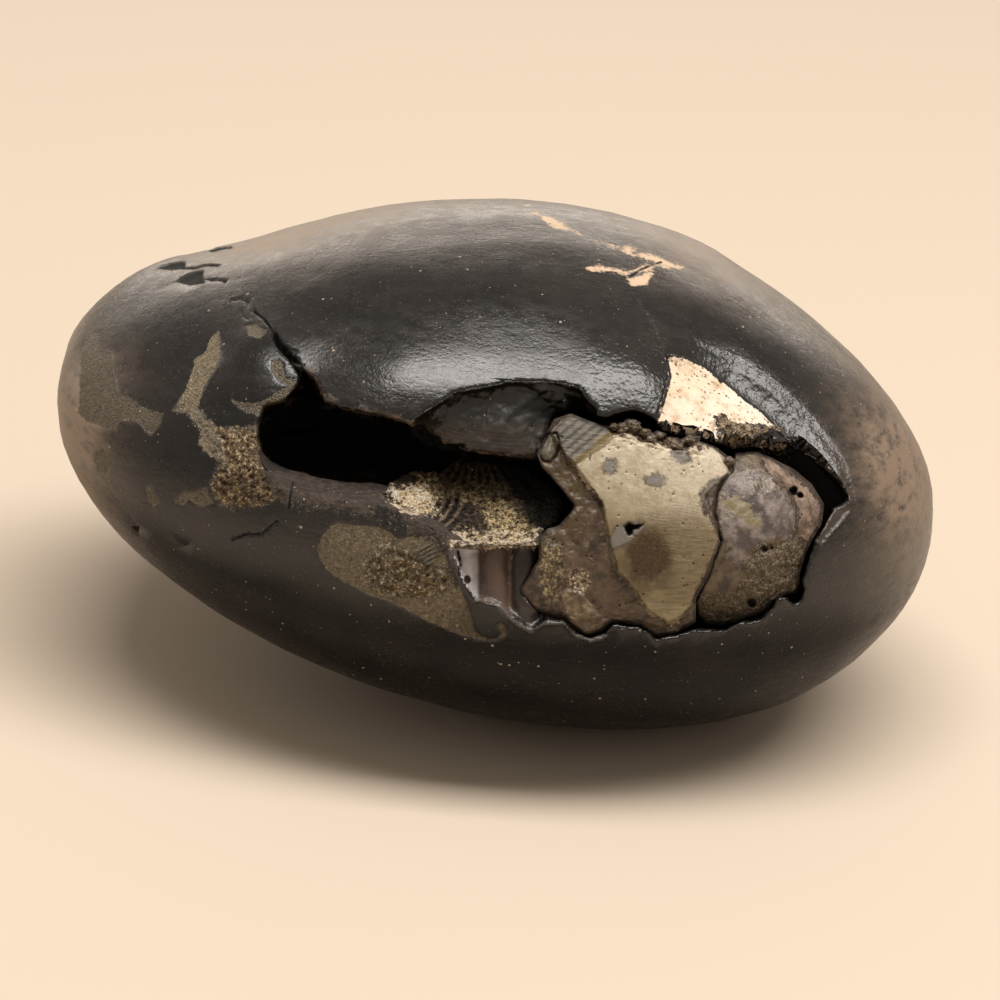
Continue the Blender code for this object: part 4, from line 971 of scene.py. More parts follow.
hazeSet = (     # worn brown film with painted sheen: place (u, v, level) on the stone, radius, strength
    (-45.5, 5.0, 15.0, 6.0, 2.4), (-44.0, -5.0, 14.0, 6.0, 0.8), (-44.0, 11.0, 6.0, 5.0, 0.5),
    (-25.0, 25.0, 2.0, 7.0, 1.3), (-16.0, 24.5, 0.0, 8.0, 1.1), (22.0, 22.0, 2.0, 8.0, 1.15),
    (42.0, -1.5, 12.0, 7.0, 1.8), (43.5, 3.0, 2.0, 8.0, 1.2), (41.0, -14.0, 4.0, 8.0, 0.5),
    (0.0, 10.0, -28.0, 22.0, 0.45), (20.0, -8.0, -28.0, 16.0, 0.5), (-24.0, 2.0, -22.0, 14.0, 0.5),
)


def hazeAt(points):
    haze = np.zeros(len(points))
    for u, v, level, radius, strength in hazeSet:
        middle = fromSight(np.array([u]), np.array([v]), np.array([float(level)]))[0]
        haze += strength * np.exp(-(np.linalg.norm(points - middle, axis=1) / radius) ** 2)
    return np.minimum(haze, 2.0)


def storeMasks(piece, front=True, **masks):     # one per mark, far outside it off the front
    for name, values in masks.items():
        storeMask(piece, name, np.where(front, values, farOut))


def placeMasks(piece):      # depth under the skin and place in the front view
    points = getPoints(piece)
    u, v, level = toSight(points)
    depth = depthUnder(points)
    storeMasks(piece, depth=depth, sightU=u, sightV=v)
    return u, v, level, depth


def insideEach(u, v, **outlines):
    return {name: insideBy(outline, u, v) for name, outline in outlines.items()}


def nearLine(line, half, u, v):
    return half - np.abs(lineDistance(line, u, v))


def markStone(piece):       # distances to each mark's edge, positive inside, in mm
    s = openingSet
    u, v, level, depth = placeMasks(piece)
    normals = getNormals(piece)
    front = (level > -6.0) & ((normals @ eyeWay > -0.1) | (depth > 0.4))
    storeMasks(piece, haze=hazeAt(getPoints(piece)), under=ramp(-normals[:, 2], -0.1, 0.35))
    outer, inner = insideBy(outerEdge, u, v), insideBy(innerEdge, u, v)
    veins = np.max([nearLine(line, half, u, v) for line, half in veinLines], axis=0)
    cracks = [nearLine(line, half, u, v) for line, half, deep in crackLines]
    beside = (u > facetSpan[0]) & (u < facetSpan[1]) & (v > 0.0)
    shelf = np.minimum(s["shelfWidth"] - (v - heightOn(s["floorEdge"], u)), outer + 1.1)
    storeMasks(
        piece, front, **insideEach(
            u, v, spark=giltMarks[1], shell=shellPiece, crumbly=crumblyMark, gloss=glossMark,
            fleck=fleckMark, chip=detailSet["chip"]),
        pyrite=np.where(outer > 0.1, farOut, anyInside(pyriteMarks, u, v)),
        gilt=np.where(outer > 0.6, farOut, insideBy(giltMarks[0], u, v)),
        calcite=np.where(outer > -0.03, farOut, insideBy(calciteMark, u, v)),
        hammer=anyInside((bossMark, stripMark), u, v),
        vein=np.maximum(veins, insideBy(veinPatch, u, v) - 0.35),
        crack=np.max(cracks, axis=0), lip=nearLine(lipLine, detailSet["lipHalf"], u, v),
        facet=np.where(beside, np.minimum(outer, 0.4 - inner), farOut),
        rim=np.where((u < s["rimEnd"]) & (v > s["rimFoot"]), 0.45 - np.abs(inner - 0.1), farOut),
        column=np.where((v < s["columnTop"]) & (u > s["columns"][0]) & (u < s["columns"][1]), outer, farOut),
        shelf=np.where((v < s["shelfTop"]) & (u > s["shelf"][0]) & (u < s["shelf"][1]), shelf, farOut),
        brim=np.minimum(np.minimum(v - s["brimFoot"], u - s["brim"][0]), s["brim"][1] - u),
        cluster=clusterAt(u, v), whorl=whorlRidges(u, v) / crustSet["ridge"])


def markCast(piece):
    u, v, level, depth = placeMasks(piece)
    lumps = [radius - 0.15 - np.hypot(u - lumpU, v - lumpV) for lumpU, lumpV, radius in nodules]
    lump = np.where(level > skinLevel(u, v) - noduleSink - 0.1, np.max(lumps, axis=0), -1.0)
    stainU, stainV, halfU, halfV = castSet["stain"]
    away = np.hypot((u - stainU) / halfU, (v - stainV) / halfV)
    storeMasks(
        piece, **insideEach(
            u, v, plate=palePlate, layered=layeredPiece, goldEdge=goldEdge, lens=lensPiece,
            tan=tanPatch, hole=castSet["hole"]),
        lump=lump, edge=np.maximum(insideBy(castMainEdge, u, v), lump),
        grey=anyInside(greySpots, u, v), low=ramp(-v, 3.0, 7.5), stain=np.exp(-away ** 2))


def markEnd(piece):
    u, v, level, depth = placeMasks(piece)
    holes = [radius - np.hypot(u - pitU, v - pitV) for pitU, pitV, radius, deep in endSet["pits"][:5]]
    storeMasks(
        piece, hole=np.max(holes, axis=0), **insideEach(
            u, v, edge=castEndEdge, purple=endPurple, stripe=endStripe, low=endLow, rim=endRim))


def markCrust(piece):
    u, v, level = toSight(getPoints(piece))
    lowLeft = ramp(-u - 0.6 * v, 3.4, 5.4) * ramp(-v, 2.6, 4.6)
    storeMasks(
        piece, cluster=clusterAt(u, v), back=ramp(v, -3.2, -0.8) * ramp(u, -7.0, -5.0),
        shadow=ramp(v + 0.375 * u, -5.0, -2.6), gloom=ramp(u + 0.6 * v, -2.6, 1.4),
        shade=np.maximum(lowLeft, 1.0 - ramp(u + 0.3 * v, -9.6, -7.6)),
        whorl=whorlRidges(u, v) / crustSet["ridge"], fan=fanRibs(u, v),
        brim=np.minimum(np.minimum(-v - 6.9, u + 5.0), 5.0 - u))


for piece, mark in ((stone, markStone), (castMain, markCast), (castEnd, markEnd), (crust, markCrust)):
    mark(piece)
print("marks stored")


paint = {}      # the material or group being made: its tree, and what covers it so far


def addNode(kind, **settings):
    node = paint["tree"].nodes.new("ShaderNode" + kind)
    for name, value in settings.items():
        setattr(node, name, value)
    return node


def feed(target, value):      # a socket is linked, a plain value is set
    if isinstance(value, bpy.types.NodeSocket):
        paint["tree"].links.new(value, target)
    elif isinstance(value, tuple) and len(value) == 3 and target.type == "RGBA":
        target.default_value = (*value, 1.0)
    else:
        target.default_value = value


def maths(operation, *values):
    node = addNode("Math", operation=operation)
    for place, value in enumerate(values):
        feed(node.inputs[place], value)
    return node.outputs[0]


def times(first, second):
    return maths("MULTIPLY", first, second)


def timesPlus(first, second, third):
    return maths("MULTIPLY_ADD", first, second, third)


def spread(value, fromLow, fromHigh, toLow=0.0, toHigh=1.0):      # a soft, limited change of range
    node = addNode("MapRange", interpolation_type="SMOOTHSTEP")
    for place, given in enumerate((value, fromLow, fromHigh, toLow, toHigh)):
        feed(node.inputs[place], given)
    return node.outputs[0]


def blended(mask, under, over, kind="RGBA"):
    node = addNode("Mix", data_type=kind)
    first, second, result = (6, 7, 2) if kind == "RGBA" else (2, 3, 0)
    feed(node.inputs[0], mask)
    feed(node.inputs[first], under)
    feed(node.inputs[second], over)
    return node.outputs[result]


def noiseOf(size, detail=3.0, roughness=0.55, stretch=None):      # size of a feature, in mm
    place = addNode("TexCoord").outputs["Object"]
    if stretch:
        mapping = addNode("Mapping")
        feed(mapping.inputs["Vector"], place)
        mapping.inputs["Rotation"].default_value = stretch[0]
        mapping.inputs["Scale"].default_value = stretch[1]
        place = mapping.outputs[0]
    node = addNode("TexNoise")
    feed(node.inputs["Vector"], place)
    feed(node.inputs["Scale"], size if isinstance(size, bpy.types.NodeSocket) else 1000.0 / size)
    feed(node.inputs["Detail"], detail)
    feed(node.inputs["Roughness"], roughness)
    return node.outputs[0]


def cellsOf(size, feature="F1"):
    node = addNode("TexVoronoi", feature=feature)
    feed(node.inputs["Vector"], addNode("TexCoord").outputs["Object"])
    feed(node.inputs["Scale"], size if isinstance(size, bpy.types.NodeSocket) else 1000.0 / size)
    return node


def stored(name):
    return addNode("Attribute", attribute_name=name).outputs["Fac"]


def startGroup(name, outputs, **inputs):
    group = bpy.data.node_groups.new(name, "ShaderNodeTree")
    paint["tree"] = group
    for title, value in inputs.items():
        kind = "NodeSocketColor" if isinstance(value, tuple) else "NodeSocketFloat"
        group.interface.new_socket(title, in_out="INPUT", socket_type=kind).default_value = value
    for title in outputs:
        kind = "NodeSocketColor" if title == "Color" else "NodeSocketFloat"
        group.interface.new_socket(title, in_out="OUTPUT", socket_type=kind)
    return group, group.nodes.new("NodeGroupInput").outputs, group.nodes.new("NodeGroupOutput").inputs


def makeUnevenness():       # one wave, about -1 to 1, that all of a material's edges wander by
    group, given, result = startGroup("unevenness", ("Wave",), Coarse=2.0, Fine=0.4)
    coarse = noiseOf(maths("DIVIDE", 1000.0, given["Coarse"]), 2.0, 0.5)
    fine = noiseOf(maths("DIVIDE", 1000.0, given["Fine"]), 2.0, 0.6)
    wave = timesPlus(coarse, 2.4, -2.2)
    feed(result["Wave"], timesPlus(fine, 2.0, wave))
    return group


def makeRaggedEdge():       # a mask from a stored distance, its edge broken up by a wave
    group, given, result = startGroup(
        "raggedEdge", ("Mask",), Distance=0.0, Wave=0.0, Ragged=0.15, Soft=0.06)
    moved = timesPlus(given["Wave"], given["Ragged"], given["Distance"])
    low = times(given["Soft"], -1.0)
    feed(result["Mask"], spread(moved, low, given["Soft"]))
    return group


def makeDustSpecks():       # small pale dots, scattered
    group, given, result = startGroup("dustSpecks", ("Mask",), Size=0.5, Share=0.2, Radius=0.2)
    cells = cellsOf(maths("DIVIDE", 1000.0, given["Size"]))
    chosen = addNode("SeparateColor")
    feed(chosen.inputs[0], cells.outputs["Color"])
    kept = maths("LESS_THAN", chosen.outputs[0], given["Share"])
    radius = times(given["Radius"], chosen.outputs[1])
    dot = maths("LESS_THAN", cells.outputs["Distance"], radius)
    feed(result["Mask"], times(kept, dot))
    return group


def makeOreCells():     # packed grains: how light each is, its height, and the few that glint
    group, given, result = startGroup("oreCells", ("Shade", "Height", "Glint"), Size=0.3, Glints=0.1)
    scale = maths("DIVIDE", 1000.0, given["Size"])
    cells = cellsOf(scale)
    split = addNode("SeparateColor")
    feed(split.inputs[0], cells.outputs["Color"])
    cloud = noiseOf(times(scale, 0.4), 4.0, 0.65)
    shade = timesPlus(split.outputs[0], 0.4, times(cloud, 0.9))
    shade = timesPlus(spread(cells.outputs["Distance"], 0.4, 0.75), -0.2, shade)
    feed(result["Shade"], shade)
    feed(result["Height"], timesPlus(cells.outputs["Distance"], -0.5, shade))
    feed(result["Glint"], maths("LESS_THAN", split.outputs[2], given["Glints"]))
    return group


def makeOreColour():        # three tones over the grains' shade
    group, given, result = startGroup(
        "oreColour", ("Color",), Shade=0.5, Glint=0.0, Contrast=1.0, Dark=(0.0, 0.0, 0.0, 1.0),
        Middle=(0.2, 0.2, 0.2, 1.0), Light=(1.0, 1.0, 1.0, 1.0))
    centred = maths("SUBTRACT", given["Shade"], 0.58)
    shade = timesPlus(centred, given["Contrast"], 0.5)
    lower = blended(spread(shade, 0.15, 0.5), given["Dark"], given["Middle"])
    glint = times(given["Glint"], 0.7)
    bright = maths("MAXIMUM", spread(shade, 0.5, 0.9), glint)
    feed(result["Color"], blended(bright, lower, given["Light"]))
    return group


unevenness, raggedEdge, dustSpecks = makeUnevenness(), makeRaggedEdge(), makeDustSpecks()
oreCells, oreColour = makeOreCells(), makeOreColour()


def useGroup(group, **values):
    node = addNode("Group")
    node.node_tree = group
    for name, value in values.items():
        feed(node.inputs[name], value)
    return node.outputs


def edged(name, ragged=0.12, soft=0.05):
    distance = stored(name)
    return useGroup(raggedEdge, Distance=distance, Wave=paint["wave"], Ragged=ragged, Soft=soft)["Mask"]


def specks(size, share, radius):
    return useGroup(dustSpecks, Size=size, Share=share, Radius=radius)["Mask"]


def oreOf(cells, colours, contrast=1.0):
    dark, middle, light = colours
    return useGroup(oreColour, Shade=cells["Shade"], Glint=cells["Glint"], Contrast=contrast,
                    Dark=dark, Middle=middle, Light=light)["Color"]


def startPaint(name, colour, rough, height, **fixed):
    material = bpy.data.materials.new(name)
    material.use_nodes = True
    shader = material.node_tree.nodes["Principled BSDF"]
    for title, value in fixed.items():
        shader.inputs[title.replace("_", " ")].default_value = value
    paint.update(material=material, tree=material.node_tree, shader=shader, colour=colour, rough=rough,
                 metal=0.0, height=height)
    paint["wave"] = useGroup(unevenness)["Wave"]


def cover(mask, **channels):     # lays a finish over what is there, where the mask is
    for name, value in channels.items():
        kind = "RGBA" if name == "colour" else "FLOAT"
        paint[name] = blended(mask, paint[name], value, kind)


def finishPaint(depth):      # depth of the bump, in mm
    shader = paint["shader"]
    bump = addNode("Bump")
    bump.inputs["Distance"].default_value = depth / 1000.0
    feed(bump.inputs["Height"], paint["height"])
    feed(shader.inputs["Base Color"], paint["colour"])
    feed(shader.inputs["Roughness"], paint["rough"])
    feed(shader.inputs["Metallic"], paint["metal"])
    feed(shader.inputs["Normal"], bump.outputs[0])
    return paint["material"]


stoneColours = {
    "black": (0.004, 0.0035, 0.0033), "soot": (0.011, 0.0085, 0.007), "haze": (0.20, 0.142, 0.098),
    "wear": (0.246, 0.18, 0.123), "dust": (0.377, 0.32, 0.246), "vein": (0.62, 0.45, 0.30),
    "cream": (0.738, 0.59, 0.426), "chalk": (0.804, 0.705, 0.574), "rust": (0.131, 0.0656, 0.0328),
    "facet": (0.013, 0.010, 0.008), "facetWorn": (0.060, 0.043, 0.030), "umber": (0.024, 0.016, 0.011),
    "flecksAndGlints": (0.107, 0.0943, 0.082), "smudge": (0.508, 0.353, 0.213), "paintedShade": (0.002, 0.0015, 0.001),
    "shelf": (0.0902, 0.064, 0.0426), "pale": (0.66, 0.62, 0.62), "cocoa": (0.102, 0.064, 0.0467),
    "slateAndShade": (0.026, 0.020, 0.016), "lip": (0.0984, 0.0902, 0.082), "ridge": (0.123, 0.082, 0.0476),
    "shell": (0.164, 0.139, 0.0984), "shellDark": (0.0574, 0.0492, 0.0344),
    "grit": (0.492, 0.41, 0.312),
}
pyriteTones = ((0.0295, 0.0221, 0.0131), (0.0779, 0.0607, 0.0377), (0.148, 0.121, 0.0804))
stripTones = ((0.0492, 0.0377, 0.0213), (0.156, 0.123, 0.0722), (0.295, 0.246, 0.164))
sparkTones = ((0.024, 0.0165, 0.009), (0.150, 0.112, 0.063), (0.62, 0.51, 0.34))
giltTones = ((0.018, 0.0107, 0.00492), (0.164, 0.111, 0.0558), (0.697, 0.558, 0.361))
crumbTones = ((0.00984, 0.00656, 0.00492), (0.205, 0.143, 0.082), (0.607, 0.476, 0.312))
giltLow = ((0.0131, 0.00738, 0.00328), (0.0984, 0.0623, 0.0279), (0.41, 0.303, 0.164))
bandTones = ((0.131, 0.107, 0.0738), (0.221, 0.184, 0.127), (0.344, 0.295, 0.213))


spotSet = {     # soft round patches in the front view: middle, half width, half height
    "stripEnd": (-31.2, 10.0, 3.2, 5.5), "underMouth": (-11.0, -11.5, 9.0, 8.0),
    "pillarPit": (-3.1, -12.0, 0.42, 0.5), "warmFlank": (7.6, -3.0, 2.4, 4.5),
    "darkHeap": (5.8, -11.0, 1.4, 3.6), "grainHeap": (8.7, -12.3, 1.3, 1.5),
    "paleBloom": (27.7, -1.8, 1.7, 1.5),
}


def nearSpot(name):
    u, v, halfU, halfV = spotSet[name]
    across = maths("DIVIDE", maths("SUBTRACT", stored("sightU"), u), halfU)
    along = maths("DIVIDE", maths("SUBTRACT", stored("sightV"), v), halfV)
    reach = timesPlus(across, across, times(along, along))
    return spread(reach, 1.3, 0.5)


def bedLines(name, spacing):      # lines that follow a stored outline inwards
    phase = times(stored(name), 2.0 * math.pi / spacing)
    return spread(maths("SINE", phase), 0.1, 0.9)


def paintOres():
    ore = useGroup(oreCells, Size=0.22, Glints=0.06)
    rugged = noiseOf(0.5, 5.0, 0.72)
    shade = timesPlus(ore["Shade"], 0.35, -0.18)
    broken = {"Shade": timesPlus(rugged, 1.1, shade), "Glint": ore["Glint"]}
    gentle = times(ore["Height"], 0.8)
    rough = timesPlus(rugged, 3.0, gentle)
    pyrite = blended(nearSpot("stripEnd"), oreOf(ore, pyriteTones, 0.8), oreOf(ore, stripTones, 0.8))
    paler = times(nearSpot("underMouth"), 0.6)
    pyrite = blended(paler, pyrite, oreOf(ore, stripTones, 0.8))
    cover(edged("pyrite", 0.2, 0.09), colour=pyrite, rough=0.42, metal=0.2, height=gentle)
    upper = spread(timesPlus(paint["wave"], 0.8, stored("sightV")), -1.6, 0.4)
    gilt = blended(upper, oreOf(broken, giltLow, 1.7), oreOf(broken, giltTones, 1.9))
    band = timesPlus(stored("sightV"), 0.38, stored("sightU"))
    band = timesPlus(paint["wave"], 0.5, band)
    high = spread(stored("sightV"), -0.6, 0.4)
    band = times(spread(band, -27.9, -28.5), high)
    gilt = blended(band, gilt, oreOf(ore, bandTones, 0.9))
    for mask, tone, shine, metal in (
            (edged("spark", 1.6, 0.35), oreOf(broken, sparkTones, 1.5), 0.36, 0.2),
            (edged("gilt", 0.7, 0.2), gilt, 0.34, 0.25),
            (edged("crumbly", 1.8, 0.12), oreOf(broken, crumbTones, 1.9), 0.75, 0.0)):
        cover(mask, colour=tone, rough=shine, metal=metal, height=rough)


def paintStone():
    c = stoneColours
    startPaint("blackShell", c["black"], 0.23, 0.0)
    cloud = noiseOf(7.0, 4.0, 0.6)
    fine = noiseOf(0.35, 3.0, 0.6)
    streaks = noiseOf(2.2, 5.0, 0.7, ((0.0, 0.5, 0.0), (0.5, 1.0, 2.2)))
    haze, depth = stored("haze"), stored("depth")
    swirl = noiseOf(1.6, 5.0, 0.7, ((0.3, 0.6, 0.0), (0.6, 1.0, 2.0)))
    paint["height"] = timesPlus(swirl, 0.35, times(fine, 0.22))
    paint["rough"] = spread(swirl, 0.3, 0.7, 0.19, 0.34)
    polish = spread(stored("under"), 0.0, 1.0, 0.60, 0.10)
    feed(paint["shader"].inputs["Specular IOR Level"], polish)
    cover(spread(cloud, 0.35, 0.7), colour=c["soot"])
    # pale flecks in patches, partly painted glints
    flecksAndGlints = specks(0.26, 0.55, 0.34)
    patches = spread(noiseOf(3.2, 4.0, 0.6), 0.42, 0.66, 0.1, 0.55)
    cover(times(flecksAndGlints, patches), colour=c["flecksAndGlints"], rough=0.45)
    # worn brown film, partly a painted sheen on the ends and top
    filmAndSheenMask = times(haze, spread(streaks, 0.2, 0.75))
    cover(filmAndSheenMask, colour=c["haze"], rough=0.48)
    worn = specks(0.36, 0.6, 0.34)
    worn = times(worn, haze)
    cover(times(worn, 0.6), colour=c["wear"], rough=0.6)
    dents = spread(cellsOf(0.5).outputs["Distance"], 0.25, 0.6, 0.0, 0.10)
    dents = timesPlus(fine, 0.16, dents)
    cover(edged("hammer", 1.2, 0.8), rough=0.27, height=dents)
    cover(edged("gloss", 1.6, 0.7), rough=spread(swirl, 0.3, 0.7, 0.18, 0.30))
    cover(spread(depth, 0.7, 1.6), colour=c["umber"], rough=0.75, height=times(streaks, 1.6))
    # painted shade: deeper than 3.5 mm in the hollow the colour turns black
    cover(spread(depth, 3.5, 7.5), colour=c["paintedShade"], rough=1.0)
    paintOres()
    across, along = stored("sightU"), stored("sightV")
    strips = timesPlus(across, -5.5, times(along, 12.8))
    strips = timesPlus(paint["wave"], 2.5, strips)
    shell = blended(spread(maths("SINE", strips), -0.5, 0.9), c["shellDark"], c["shell"])
    cover(edged("shell"), colour=shell, rough=0.5)
    broken = spread(streaks, 0.2, 0.6, 0.5, 0.95)
    veined = times(edged("vein", 0.4, 0.14), broken)
    cover(veined, colour=c["vein"], rough=0.6)
    cover(edged("fleck", 0.9, 0.15), colour=c["rust"], rough=0.6)
    chalk = blended(spread(cloud, 0.4, 0.6), c["cream"], c["chalk"])
    smudges = spread(noiseOf(1.5, 5.0, 0.7), 0.46, 0.70, 0.0, 0.8)
    chalk = blended(smudges, chalk, c["smudge"])
    rusty = specks(0.45, 0.7, 0.5)
    chalk = blended(times(rusty, spread(fine, 0.42, 0.58)), chalk, c["rust"])
    cover(edged("calcite", 0.55), colour=chalk, rough=0.6, metal=0.0, height=times(fine, 0.5))
    broken = blended(spread(streaks, 0.4, 0.8), c["facet"], c["facetWorn"])
    beds = times(bedLines("facet", 0.42), 0.35)
    broken = blended(beds, broken, c["facetWorn"])
    # painted shade: the upper part of the broken facet turns black, as if in shadow under its overhanging
    # edge
    broken = blended(spread(along, 3.4, 5.4), broken, c["paintedShade"])
    cover(edged("facet", 0.25, 0.08), colour=broken, rough=0.55, height=times(cloud, 2.5))
    shelf = blended(spread(streaks, 0.3, 0.7), c["umber"], c["shelf"])
    shelf = blended(times(bedLines("shelf", 0.5), 0.35), shelf, c["shelf"])
    shelf = blended(spread(stored("whorl"), 0.2, 0.9, 0.0, 0.8), shelf, c["ridge"])
    grit = specks(0.45, 0.4, 0.22)
    coarse = noiseOf(0.6, 5.0, 0.72)
    shelf = blended(spread(coarse, 0.38, 0.56), c["umber"], shelf)
    cover(edged("shelf", 1.6, 0.35), colour=blended(grit, shelf, c["grit"]), rough=0.7,
          height=times(coarse, 3.0))
    spilled = timesPlus(paint["wave"], 1.1, stored("cluster"))
    pale = blended(spread(coarse, 0.38, 0.58), c["shelf"], c["cream"])
    nearby = spread(stored("cluster"), 0.08, 0.3)
    spilled = times(spread(spilled, 0.45, 0.6), nearby)
    cover(spilled, colour=pale, rough=0.6, height=times(coarse, 3.0))
    patchy = times(edged("rim", 1.1, 0.15), spread(streaks, 0.4, 0.65))
    cover(patchy, colour=blended(rusty, c["shelf"], c["rust"]), rough=0.75)
    pillar = blended(spread(across, -2.3, -1.7), c["pale"], c["cocoa"])
    pillar = blended(nearSpot("pillarPit"), pillar, c["umber"])
    # the right column darker, partly its own brown and partly painted shade; past it black, painted shade
    pillar = blended(spread(across, 1.2, 2.0), pillar, c["slateAndShade"])
    pillar = blended(spread(across, 3.4, 4.6), pillar, c["paintedShade"])
    pillar = blended(spread(streaks, 0.4, 0.8, 0.0, 0.5), pillar, c["umber"])
    pillar = blended(spread(along, -8.85, -8.6), pillar, shelf)
    columns = edged("column", 0.3, 0.1)
    cover(columns, colour=pillar, rough=0.32, height=times(fine, 0.3))
    brim = times(edged("brim", 0.7, 0.12), columns)
    brim = times(brim, spread(coarse, 0.38, 0.5))
    cover(brim, colour=blended(spread(fine, 0.4, 0.6), c["shelf"], c["cream"]), rough=0.5,
          height=times(coarse, 3.0))
    # a pale line along the raised lower lip, partly a painted highlight on its edge
    cover(times(edged("lip", 0.3, 0.1), 0.7), colour=c["lip"], rough=0.45)
    chipped = times(edged("chip", 0.5, 0.1), 0.6)
    cover(chipped, colour=c["facetWorn"], rough=0.5)
    # cracks painted black as painted shade; the flaked steps' walls painted black as painted shade with some
    # dirt
    for name in ("crack", "scar"):
        cover(edged(name, 0.06, 0.05), colour=c["paintedShade"], rough=0.85)
    outside = spread(depth, 4.5, 3.0, 0.0, 0.75)
    for size, share, radius in ((0.95, 0.2, 0.16), (0.42, 0.10, 0.2)):
        dust = specks(size, share, radius)
        cover(times(dust, outside), colour=c["dust"], rough=0.7)
    return finishPaint(0.16)


castColours = {
    "brown": (0.0943, 0.0623, 0.0394), "brownDark": (0.0328, 0.0205, 0.0123),
    "brownPale": (0.172, 0.127, 0.082), "plate": (0.508, 0.435, 0.328),
    "plateWarm": (0.312, 0.258, 0.168), "plateLow": (0.164, 0.123, 0.0574),
    "stain": (0.0369, 0.0189, 0.00328), "grey": (0.172, 0.156, 0.139),
    "greyRim": (0.0738, 0.059, 0.0451), "layer": (0.139, 0.123, 0.0902),
    "layerDark": (0.041, 0.0344, 0.0246), "gold": (0.172, 0.123, 0.0451),
    "lens": (0.123, 0.111, 0.0779), "tan": (0.213, 0.164, 0.0984), "ochre": (0.123, 0.0804, 0.0369),
    "plateFoot": (0.295, 0.246, 0.139), "dirtAndShade": (0.0164, 0.0107, 0.00656),
    "fleck": (0.0738, 0.0574, 0.041),
}
lumpTones = ((0.0164, 0.0107, 0.00492), (0.0943, 0.0681, 0.0344), (0.344, 0.271, 0.148))
grainTones = ((0.0369, 0.0246, 0.0148), (0.197, 0.143, 0.0902), (0.508, 0.41, 0.279))


def dirtAndShadeEdges(width, deep):     # dirt and painted shade along a block's rim, and painted shade down its sides
    rim = spread(stored("edge"), width, -0.15)
    patchy = times(rim, spread(noiseOf(0.9, 3.0), 0.25, 0.65, 0.2, 1.0))
    cover(patchy, colour=castColours["dirtAndShade"], rough=0.8)
    # painted shade: the block's sides, down in the socket, turn dark
    shadedSides = spread(stored("depth"), deep, deep + 1.4)
    cover(shadedSides, colour=castColours["dirtAndShade"], rough=0.9, metal=0.0)


def brownRock():       # smooth mottled brown rock
    c = castColours
    mottle = noiseOf(1.6, 4.0, 0.62)
    brown = blended(spread(mottle, 0.34, 0.52), c["brownDark"], c["brown"])
    return blended(spread(mottle, 0.55, 0.72, 0.0, 0.8), brown, c["brownPale"]), mottle


def paintCast():
    c = castColours
    startPaint("pyriticCast", c["brown"], 0.42, 0.0, Specular_IOR_Level=0.5)
    paint["colour"], mottle = brownRock()
    fine = noiseOf(0.3, 3.0, 0.65)
    paint["height"] = timesPlus(mottle, 2.0, times(fine, 0.5))
    ore = useGroup(oreCells, Size=0.28, Glints=0.08)
    warmer = blended(mottle, c["brownDark"], c["ochre"])
    cover(nearSpot("warmFlank"), colour=warmer)
    cover(nearSpot("darkHeap"), colour=oreOf(ore, lumpTones, 1.2))
    cover(nearSpot("grainHeap"), colour=oreOf(ore, grainTones, 1.5), height=times(ore["Height"], 1.4))
    across, along = stored("sightU"), stored("sightV")
    strokes = noiseOf(0.9, 5.0, 0.75, ((0.0, 0.1, 0.0), (0.25, 1.0, 2.6)))
    warm = timesPlus(across, -0.045, timesPlus(along, -0.05, 1.0))
    warm = maths("ADD", warm, timesPlus(mottle, 1.6, -0.8))
    plate = blended(spread(warm, 0.0, 0.9), c["plate"], c["plateWarm"])
    low = stored("low")
    plate = blended(times(low, 0.85), plate, c["plateLow"])
    foot = spread(timesPlus(mottle, 5.0, along), -10.0, -13.5)
    plate = blended(foot, plate, c["plateFoot"])
    brushed = times(low, spread(strokes, 0.38, 0.66))
    brushed = times(brushed, spread(across, 13.5, 17.5, 0.2, 0.5))
    plate = blended(brushed, plate, c["stain"])
    spots = spread(noiseOf(0.8, 5.0, 0.7), 0.5, 0.75, 0.0, 0.55)
    plate = blended(spots, plate, c["plateWarm"])
    stain = timesPlus(stored("stain"), 1.1, -0.45)
    stain = timesPlus(mottle, 0.9, stain)
    stain = times(spread(stain, 0.1, 0.7), spread(strokes, 0.1, 0.5, 0.8, 1.0))
    plate = blended(stain, plate, c["stain"])
    grey = blended(spread(stored("grey"), 0.05, 0.3), c["greyRim"], c["grey"])
    plate = blended(edged("grey", 0.45, 0.3), plate, grey)
    flecks = specks(0.42, 0.3, 0.3)
    plate = blended(times(flecks, 0.8), plate, c["fleck"])
    plate = blended(spread(fine, 0.35, 0.8, 0.0, 0.3), plate, c["plateLow"])
    relief = timesPlus(mottle, 0.8, times(fine, 0.3))
    cover(edged("plate", 0.7, 0.05), colour=plate, rough=0.4, metal=0.1,
          height=timesPlus(brushed, 0.4, relief))
    beds = noiseOf(0.8, 4.0, 0.7, ((0.0, 0.75, 0.0), (0.2, 1.0, 3.0)))
    layer = blended(spread(beds, 0.35, 0.65), c["layerDark"], c["layer"])
    cover(edged("layered", 0.2), colour=layer, rough=0.45, height=beds)
    gold = times(edged("goldEdge", 0.4, 0.1), 0.8)
    cover(gold, colour=c["gold"], rough=0.4)
    cover(edged("lens", 0.1), colour=c["lens"], rough=0.42, height=fine)
    tan = blended(spread(mottle, 0.38, 0.6), c["tan"], c["brown"])
    cover(edged("tan", 0.8, 0.1), colour=tan, rough=0.6)
    lump = blended(spread(fine, 0.4, 0.65), c["brownDark"], c["tan"])
    cover(edged("lump", 0.2, 0.08), colour=lump, rough=0.5)
    dirtAndShadeEdges(0.12, 2.0)
    # painted shade: the hole's inside is painted black
    cover(edged("hole", 0.25, 0.06), colour=stoneColours["paintedShade"], rough=0.9, metal=0.0)
    return finishPaint(0.12)


